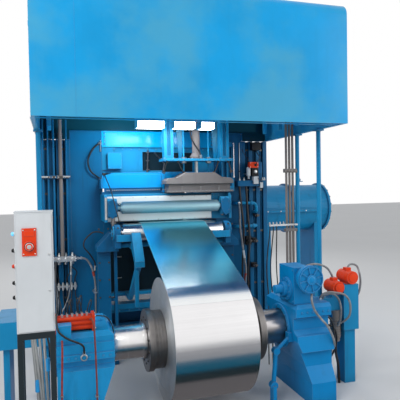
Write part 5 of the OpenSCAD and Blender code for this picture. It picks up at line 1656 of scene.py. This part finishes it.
class MILL_OT_left_services(bpy.types.Operator):
    """Valves, fittings, clamps and thin hoses on the left service frame"""

    bl_idname = "mill.left_services"
    bl_label = "Left services"

    def execute(self, context):
        self.low, self.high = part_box("manifold")
        self.row = (-2.02, -1.945, -1.87, -1.79, -1.72)
        self.valves()
        self.large_hoses()
        self.small_hoses()
        self.pipe_fittings()
        return {"FINISHED"}

    def valves(self):
        """Screwed ports on the manifold, two of them with hand levers, and the row below."""
        ports, low, high, row = Parts(), self.low, self.high, self.row
        front, centre = low.y + 0.015, (low.z + 0.06 + high.z) / 2
        for i, x in enumerate(spaced(low.x + 0.06, high.x - 0.06, 5)):
            ports.union((x, front, centre), -Y, 0.03, 0.02, (0.03, 0.034, 0.06))
            ports.union((x, low.y + 0.12, high.z), Z, 0.026, 0.017, (0.03, 0.034, 0.055))
            if i in (1, 3):
                ports.box((x - 0.01, front - 0.066, centre - 0.006),
                    (x + 0.09, front - 0.056, centre + 0.006))
        z, half = 1.45, 0.015
        ports.box((row[0] - 0.03, -1.215, z - half), (row[-1] + 0.03, -1.15, z + half))
        for x in row:
            for s in (1, -1):
                ports.union((x, -1.185, z + s * half), Z * s, 0.024, 0.014, (0.035, 0.04, 0.06))
        ports.piece("manifold_fittings", "bright_steel", smooth=30)

    def large_hoses(self):
        """The three large hoses below the manifold, and the one from the bracket."""
        zinc, red, brown = 1, 2, 3
        hoses, y = Parts(), -1.4
        hoses.rod((self.high.x - 0.02, y + 0.03, 2), (-1.59, y + 0.01, 2.004), 0.016, 16, zinc)
        for x in (-1.685, -1.625):
            hoses.rod((x, y + 0.022, 2.002), (x + 0.035, y + 0.018, 2.003), 0.03, 6, zinc)
        hoses.hose([(-1.6, y + 0.01, 2.004), *on(y, (-1.54, 1.99), (-1.485, 1.942), (-1.415, 1.803),
            (-1.365, 1.57), (-1.355, 1.34), (-1.358, 1.149), (-1.362, 0.843), (-1.375, 0.52)),
            (-1.38, y + 0.01, 0.335)], 0.019, sides=14, slot=brown)
        hoses.rod((-1.396, y, 1.74), (-1.376, y, 1.65), 0.024, 16, red)
        hoses.box((-1.395, y - 0.026, 1.325), (-1.32, -1.15, 1.35), zinc)
        hoses.hose([(-1.2, -1.5, 2.463), (-1.29, -1.47, 2.49),
            *on(-1.45, (-1.403, 2.472), (-1.534, 2.347), (-1.555, 2.216), (-1.455, 2.078)),
            (-1.37, -1.43, 1.93), (-1.355, -1.42, 1.8), (-1.38, y, 1.7)], 0.013, sides=10)
        hoses.rod((-1.356, -1.422, 1.85), (-1.364, -1.414, 1.76), 0.019, 6, zinc)
        hoses.hose([(-1.79, y + 0.035, 1.955), (-1.797, y + 0.025, 1.786), (-1.801, y + 0.02, 1.635),
            *on(y, (-1.823, 1.449), (-1.864, 1.263), (-1.922, 1.117), (-1.978, 1.01)),
            (-2.05, y + 0.02, 0.7), (-2.09, y + 0.06, 0.35), (-2.1, y + 0.08, 0)], 0.012, sides=10,
            slot=brown)
        hoses.rod((-1.79, y + 0.035, 1.955), (-1.794, y + 0.032, 1.87), 0.02, 6, zinc)
        hoses.rod((-1.798, y + 0.024, 1.75), (-1.8, y + 0.022, 1.7), 0.018, 6, zinc)
        hoses.hose([(-2.116, y + 0.03, 1.95), (-2.102, y + 0.02, 1.807),
            *on(y, (-2.073, 1.524), (-2.044, 1.241), (-2.054, 0.866)), (-2.045, y + 0.01, 0.489),
            (-2.05, y + 0.02, 0)], 0.017, slot=brown)
        hoses.rod((-2.117, y + 0.032, 1.955), (-2.111, y + 0.026, 1.87), 0.025, 6, zinc)
        piece = hoses.piece("left_service_hoses", "hose_rubber", "Black rubber", "Zinc", "Red rubber",
            "Grey rubber")
        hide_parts("left_hoses")

    def small_hoses(self):
        hoses, wire = Parts(), {"radius": 0.01, "sides": 8, "steps": 6}
        for x, reach in zip(self.row, (-0.05, 0.02, 0.07, -0.03, 0.04)):
            hoses.hose([(x, -1.185, 1.385), (x, -1.195, 1.28), (x + reach, -1.24, 1.05),
                (x + reach * 1.3, -1.23, 0.75), (x + reach * 0.5, -1.2, 0.36)], **wire)
        for x, end, sway in ((-2.02, -2.06, -0.03), (-1.87, -1.82, 0.05), (-1.72, -1.79, 0.03)):
            hoses.hose([(x, -1.185, 1.52), (x, -1.2, 1.6), (x + sway, -1.3, 1.74), (end, -1.36, 1.86),
                (end, -1.375, 1.93)], **wire)
        hoses.piece("small_hoses", "hose_rubber")

    def pipe_fittings(self):
        """Saddle clamps with bright screws on the pipes that run up under the hood."""
        clamps, screws, z = Parts(), Parts(), 3.53
        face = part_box("left_pipes")[0].y - 0.012
        pipes = ((-2.25, 0.021), (-2.16, 0.017), (-2.06, 0.021), (-1.935, 0.035), (-1.83, 0.017))
        for x, r in pipes:
            clamps.box((x - r - 0.016, face, z - 0.022), (x + r + 0.016, face + 0.112, z + 0.022))
            for s in (-1, 1):
                screws.bolt((x + s * (r + 0.008), face, z), -Y, 0.018)
        screws.box((-2.3, face - 0.008, z - 0.006), (-2.16, face, z + 0.016))
        screws.box((-1.9, face - 0.012, z - 0.004), (-1.77, face, z + 0.02))
        for z in (2.12, 2.75, 4.3):
            for x, r in (pipes[0], pipes[2], pipes[3]):
                clamps.turned((x, -1.25, z), Z, [(r + 0.012, 0), (r + 0.012, 0.05), (r + 0.004, 0.058)],
                    20)
        clamps.piece("pipe_clamps", "dark_steel", edge=0.003)
        screws.piece("clamp_screws", "bright_steel")


class MILL_OT_right_services(bpy.types.Operator):
    """Valve group, branch pipes, hoses and clamps on the right service frame"""

    bl_idname = "mill.right_services"
    bl_label = "Right services"

    def execute(self, context):
        self.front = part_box("right_service_frame")[0].y
        self.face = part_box("valve_block")[0].y
        self.valve_group()
        self.wires()
        self.branches()
        self.grey_hose()
        self.rack()
        return {"FINISHED"}

    def valve_group(self):
        group, face = Parts(), self.face
        white, black, orange, zinc = 0, 1, 2, 3
        group.turned((1.838, face + 0.045, 3.511), Z,
            [(0.02, -0.06), (0.02, 0), (0.044, 0.004), (0.044, 0.165), (0.034, 0.18), (0.02, 0.19)], 28,
            white)
        group.box((1.8, face + 0.05, 3.545), (1.876, face + 0.23, 3.575), zinc)
        group.box((1.835, face - 0.03, 3.68), (2.03, face + 0.075, 3.8), orange)
        group.box((1.9, face - 0.022, 3.512), (2.03, face + 0.08, 3.678), black)
        group.box((1.92, face - 0.038, 3.345), (2.026, face + 0.06, 3.5), white)
        group.box((2.078, face - 0.01, 3.26), (2.138, face + 0.1, 3.38), white)
        group.turned((1.965, face - 0.03, 3.74), -Y, [(0.026, 0), (0.026, 0.014), (0.018, 0.02)], 20,
            black)
        group.turned((1.965, face - 0.022, 3.6), -Y, [(0.034, 0), (0.034, 0.012), (0.026, 0.016)], 24,
            zinc)
        for z in (3.7, 3.78):
            group.bolts(grid((1.85, 2.015), face - 0.03, z), -Y, 0.014, zinc)
        for x in (1.64, 1.74, 2.16, 2.2):
            group.union((x, face + 0.06, 3.42), Z, 0.022, 0.014, (0.03, 0.036, 0.06), zinc)
        group.piece("valve_group", "grey_paint", "White paint", "Black paint", "Orange paint", "Zinc",
            edge=0.003)

    def wires(self):
        """The three wires of the valve group."""
        wires, front, face = Parts(), self.front, self.face
        for radius, points in ((0.008, [(1.965, face - 0.05, 3.74), (1.975, face - 0.1, 3.8),
                (2.05, face - 0.06, 3.9), (2.09, front - 0.03, 4.03), (2.08, front - 0.03, 4.1)]),
                (0.007, [(2, face - 0.02, 3.5), (2.04, face - 0.06, 3.42), (2.11, face - 0.04, 3.4),
                (2.108, face - 0.005, 3.375)]), (0.007, [(1.855, face + 0.045, 3.7),
                (1.86, face + 0.03, 3.79), (1.8, face + 0.05, 3.9), (1.78, front - 0.02, 4.05),
                (1.78, front + 0.02, 4.16)])):
            wires.hose(points, radius, sides=8, steps=6)
        wires.piece("valve_wires", "hose_rubber")

    def branches(self):
        """Painted branch pipes with their collars, and black fittings."""
        pipes, dark, front, y = Parts(), Parts(), self.front, -1.3
        pipes.pipe([(1.56, front, 2.95), (1.56, y, 2.95), (2.01, y, 2.945), (2.025, y, 2.75),
            (2.025, front + 0.02, 2.75)], 0.034, bend=0.09)
        pipes.pipe([(1.56, front, 2.465), (1.56, y, 2.465), (2.02, y, 2.465),
            (2.02, front + 0.02, 2.465)], 0.036, bend=0.06)
        for x, z in ((1.62, 2.95), (1.88, 2.948), (1.66, 2.465), (1.92, 2.465)):
            pipes.rod((x, y, z), (x + 0.045, y, z), 0.05, 20)
        for x, z in ((1.86, 2.15), (1.99, 2.14), (1.98, 1.62), (2.03, 2.68)):
            dark.rod((x, front, z), (x, y - 0.03, z), 0.034, 6)
            dark.rod((x - 0.05, y, z), (x + 0.05, y, z), 0.022, 16)
            dark.rod((x, y - 0.03, z), (x, y - 0.055, z), 0.02, 16)
        pipes.piece("branch_pipes", "machine_blue")
        dark.piece("branch_fittings", "dark_steel", smooth=30)

    def grey_hose(self):
        """The grey hose with its red sleeve, its white collar and its fitting."""
        hose, red, white, zinc = Parts(), 1, 2, 3
        hose.hose([(1.611, -1.34, 2.956), (1.59, -1.43, 2.75), (1.582, -1.45, 2.503),
            (1.605, -1.46, 2.25), (1.64, -1.46, 1.984), (1.675, -1.455, 1.76), (1.7, -1.45, 1.564),
            (1.693, -1.4, 1.148), (1.69, -1.33, 0.7), (1.69, -1.3, 0.36)], 0.02, steps=6)
        hose.rod((1.6935, -1.405, 1.3), (1.6985, -1.44, 1.5), 0.026, 16, red)
        hose.rod((1.641, -1.46, 1.98), (1.668, -1.455, 1.82), 0.025, 16, white)
        hose.turned((1.611, -1.31, 2.956), -Y, [(0.026, 0), (0.026, 0.05)], 6, zinc)
        hose.piece("grey_hose", "hose_rubber", "Grey rubber", "Red rubber", "White paint", "Zinc")

    def rack(self):
        """Clamps on the upright pipes in front, and the row of fittings between them."""
        clamps, bright, lines = Parts(), Parts(), Parts()
        low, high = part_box("right_pipes")
        y, face = (low.y + high.y) / 2, (low.y + high.y) / 2 - 0.034
        xs, between = [low.x + 0.0225 + 0.065 * i for i in range(3)], 0.0325
        for z in (3.56, 1.53, 0.42):
            clamps.box((low.x - 0.02, face, z - 0.022), (high.x + 0.02, y - 0.004, z + 0.022))
            clamps.bolts([(x + between, face, z) for x in xs], -Y, 0.02)
        z = 2.57
        bright.box((1.69, y - 0.03, z - 0.014), (high.x + 0.03, y - 0.006, z + 0.018))
        for x in (1.7, 1.77, 1.84, 1.91, 1.98):
            bright.union((x, y - 0.018, z + 0.018), Z, 0.018, 0.011, (0.026, 0.03, 0.045))
        bright.bolts([(x + between, y - 0.03, z) for x in xs], -Y, 0.022)
        for x, end in ((1.7, 1.66), (1.77, 1.74), (1.84, 1.86)):
            lines.hose([(x, y - 0.018, z - 0.01), (x, y - 0.02, z - 0.12), (end, y + 0.05, 1.8),
                (end + 0.02, y + 0.02, 1.2), *on(y, (end, 0.5), (end, 0))], 0.011, sides=8, steps=6)
        clamps.piece("rack_clamps", "dark_steel", edge=0.003)
        bright.piece("rack_fittings", "bright_steel", smooth=30)
        lines.piece("rack_hoses", "hose_rubber")


class MILL_OT_posts(bpy.types.Operator):
    """Foot bolts and gussets of the hood posts"""

    bl_idname = "mill.posts"
    bl_label = "Hood posts"

    def execute(self, context):
        bolts, plates = Parts(), Parts()
        low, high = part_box("hood_posts")
        reach, plate, half = 0.052, 0.025, 0.004
        for s in (-1, 1):
            x = s * (high.x - 0.07)
            for y in (low.y + 0.07, high.y - 0.07):
                bolts.bolts(grid((x - reach, x + reach), (y - reach, y + reach), plate), Z, 0.022)
                for way in (-1, 1):
                    plates.prism("Y", [(x + way * 0.036, plate), (x + way * 0.064, plate),
                        (x + way * 0.036, 0.11)], y - half, y + half)
        bolts.piece("post_bolts", "bright_steel")
        plates.piece("post_gussets", "machine_blue")
        return {"FINISHED"}


# Stage

# What the coil mirrors below its middle: name, near end, far end and colour
REFLECTED = (
    ("Pit floor", -3.0, -4.75, (0.11, 0.105, 0.11)),
    ("Dark pit", -4.75, -5.25, (0.012, 0.022, 0.026)),
    ("Blue floor", -5.25, -6.4, (0.003, 0.085, 0.15)),
    ("Grey floor", -6.4, -12.0, (0.28, 0.29, 0.31)),
)
# Each lamp: its name, where it is, what it points at, its size and its power
LAMPS = (
    ("Key", (-7.5, -11.0, 9.0), (0, -2.0, 3.0), 6.0, 560),
    ("Fill", (8.5, -9.0, 5.5), (0, -2.5, 2.5), 6.0, 260),
    ("Back", (3.0, 10.0, 9.0), (0, 0, 3.0), 7.0, 420),
    ("Hood lamp", (0.0, -2.7, 4.3), (0.0, -2.5, 2.6), 1.6, 40),
    ("Beam light", (-0.8, -2.3, 4.4), (-0.6, -1.15, 4.34), 0.35, 24),
)
# The lamps that polished metal doesn't mirror
UNSEEN = ("Hood lamp", "Beam light")
CAMERA_AT = (-2.083, -10.65, 3.3)


class MILL_OT_studio(bpy.types.Operator):
    """Camera, floor, lamps and background"""

    bl_idname = "mill.studio"
    bl_label = "Studio"

    def execute(self, context):
        context.scene.view_settings.view_transform = "Standard"
        self.camera()
        self.floor()
        self.background()
        for lamp in LAMPS:
            self.lamp(*lamp)
        self.cards()
        return {"FINISHED"}

    def camera(self):
        """A camera turned to the right, tilted down and leaning a little."""
        yaw, pitch, roll = math.radians(17), math.radians(1.55), math.radians(1.0)
        ahead = Vector((math.sin(yaw) * math.cos(pitch), math.cos(yaw) * math.cos(pitch),
                        -math.sin(pitch)))
        level = Vector((math.cos(yaw), -math.sin(yaw), 0))
        over = level.cross(ahead)
        right = level * math.cos(roll) - over * math.sin(roll)
        up = over * math.cos(roll) + level * math.sin(roll)
        lens = bpy.data.cameras.new("Camera")
        lens.lens, lens.sensor_width, lens.clip_end = 43.2, 36.0, 200
        camera = bpy.data.objects.new("Camera", lens)
        turn = Matrix((right, up, -ahead)).transposed().to_4x4()
        camera.matrix_world = Matrix.Translation(CAMERA_AT) @ turn
        bpy.context.scene.collection.objects.link(camera)
        bpy.context.scene.camera = camera

    def floor(self):
        finish, tree, shader = new_material("Floor paint")
        tint = colours().floor
        cloud = tree.noise(tree.place(), 0.35)
        tree.fill(shader, {"Base Color": tree.mixed(cloud, tuple(c * 0.94 for c in tint), tint),
                           "Roughness": 0.7})
        far = 60
        self.flat("Floor", (-far, -far, far, far, 0), finish)

    def background(self):
        """White to the eye and to what mirrors it, and a dimmer sky for the light."""
        world = bpy.data.worlds.new("Studio")
        world.use_nodes = True
        bpy.context.scene.world = world
        tree = Tree(world.node_tree)
        sky, white = tree.nodes["Background"], tree.add("Background", (1, 1, 1))
        tree.fill(sky, {"Color": (0.93, 0.96, 1.0), "Strength": 0.5})
        ray = tree.add("LightPath").outputs
        seen = tree.math("MAXIMUM", ray["Is Glossy Ray"], ray["Is Transmission Ray"])
        seen = tree.math("MAXIMUM", ray["Is Camera Ray"], seen)
        pick = tree.add("MixShader", seen, sky.outputs[0], white.outputs[0])
        tree.fill(tree.nodes["World Output"], {"Surface": pick.outputs[0]})

    def lamp(self, name, at, towards, size, power):
        light = bpy.data.lights.new(name, "AREA")
        light.size, light.energy = size, power
        lamp = bpy.data.objects.new(name, light)
        lamp.location = at
        lamp.rotation_euler = (Vector(towards) - Vector(at)).to_track_quat("-Z", "Y").to_euler()
        lamp.visible_glossy = name not in UNSEEN
        bpy.context.scene.collection.objects.link(lamp)

    def cards(self):
        """Plain cards that are seen in polished metal only."""
        half, above_floor = 5, 0.02
        for name, near, far_end, colour in REFLECTED:
            self.card(name, (-half, far_end, half, near, above_floor), colour)
        half, rear, low, high = 2.1, -1.26, 4.46, 6.02
        self.card("Lit hood", [(-half, rear, low), (half, rear, low), (half, rear, high),
                               (-half, rear, high)], (0.1, 0.52, 0.76))
        low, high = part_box("hood_lamps")
        margin, drop = 0.04, 0.015
        self.card("Lamp glow card", (low.x - margin, low.y - margin, high.x + margin,
                                     high.y + margin, low.z - drop), (1.0, 1.3, 1.4))

    def card(self, name, corners, colour):
        finish, tree, _ = new_material(name)
        glow = tree.add("Emission", colour).outputs[0]
        tree.fill(tree.nodes["Material Output"], {"Surface": glow})
        card = self.flat(name, corners, finish)
        card.visible_camera = card.visible_diffuse = card.visible_shadow = False

    def flat(self, name, corners, finish):
        """One face, from its corners or, when level, from x, y, far x, far y and height."""
        if len(corners) == 5:
            x0, y0, x1, y1, z = corners
            corners = [(x0, y0, z), (x1, y0, z), (x1, y1, z), (x0, y1, z)]
        mesh = bpy.data.meshes.new(name)
        mesh.from_pydata(corners, [], [(0, 1, 2, 3)])
        mesh.materials.append(finish)
        flat = bpy.data.objects.new(name, mesh)
        bpy.context.scene.collection.objects.link(flat)
        return flat


# Panel and run


class MILL_PT_panel(bpy.types.Panel):
    """Sizes, colours and steps of the rolling mill stand"""

    bl_idname = "MILL_PT_panel"
    bl_label = "Rolling mill stand"
    bl_space_type = "VIEW_3D"
    bl_region_type = "UI"
    bl_category = "Mill"

    def draw(self, context):
        layout = self.layout
        for title, group in (("Sizes", sizes()), ("Colours", colours())):
            layout.label(text=title)
            column = layout.column()
            for name in group.__annotations__:
                column.prop(group, name)
        layout.label(text="Steps")
        for step in STEPS:
            layout.operator(step.bl_idname)


STEPS = (
    MILL_OT_finishes,
    MILL_OT_round_edges,
    MILL_OT_hood,
    MILL_OT_hood_lamps,
    MILL_OT_housings,
    MILL_OT_service_frames,
    MILL_OT_window,
    MILL_OT_guard_box,
    MILL_OT_guides,
    MILL_OT_cover,
    MILL_OT_lift,
    MILL_OT_brackets,
    MILL_OT_coil,
    MILL_OT_mandrel,
    MILL_OT_gearbox,
    MILL_OT_brake,
    MILL_OT_outboard,
    MILL_OT_side_unit,
    MILL_OT_control_box,
    MILL_OT_drive_guard,
    MILL_OT_left_services,
    MILL_OT_right_services,
    MILL_OT_posts,
    MILL_OT_studio,
)
CLASSES = (MillSizes, MillColours, *STEPS, MILL_PT_panel)


def register():
    for item in CLASSES:
        bpy.utils.register_class(item)
    bpy.types.Scene.mill_sizes = bpy.props.PointerProperty(type=MillSizes)
    bpy.types.Scene.mill_colours = bpy.props.PointerProperty(type=MillColours)


def unregister():
    del bpy.types.Scene.mill_colours
    del bpy.types.Scene.mill_sizes
    for item in reversed(CLASSES):
        bpy.utils.unregister_class(item)


def main():
    register()
    for step in STEPS:
        area, name = step.bl_idname.split(".")
        getattr(getattr(bpy.ops, area), name)()


if __name__ == "__main__":
    main()
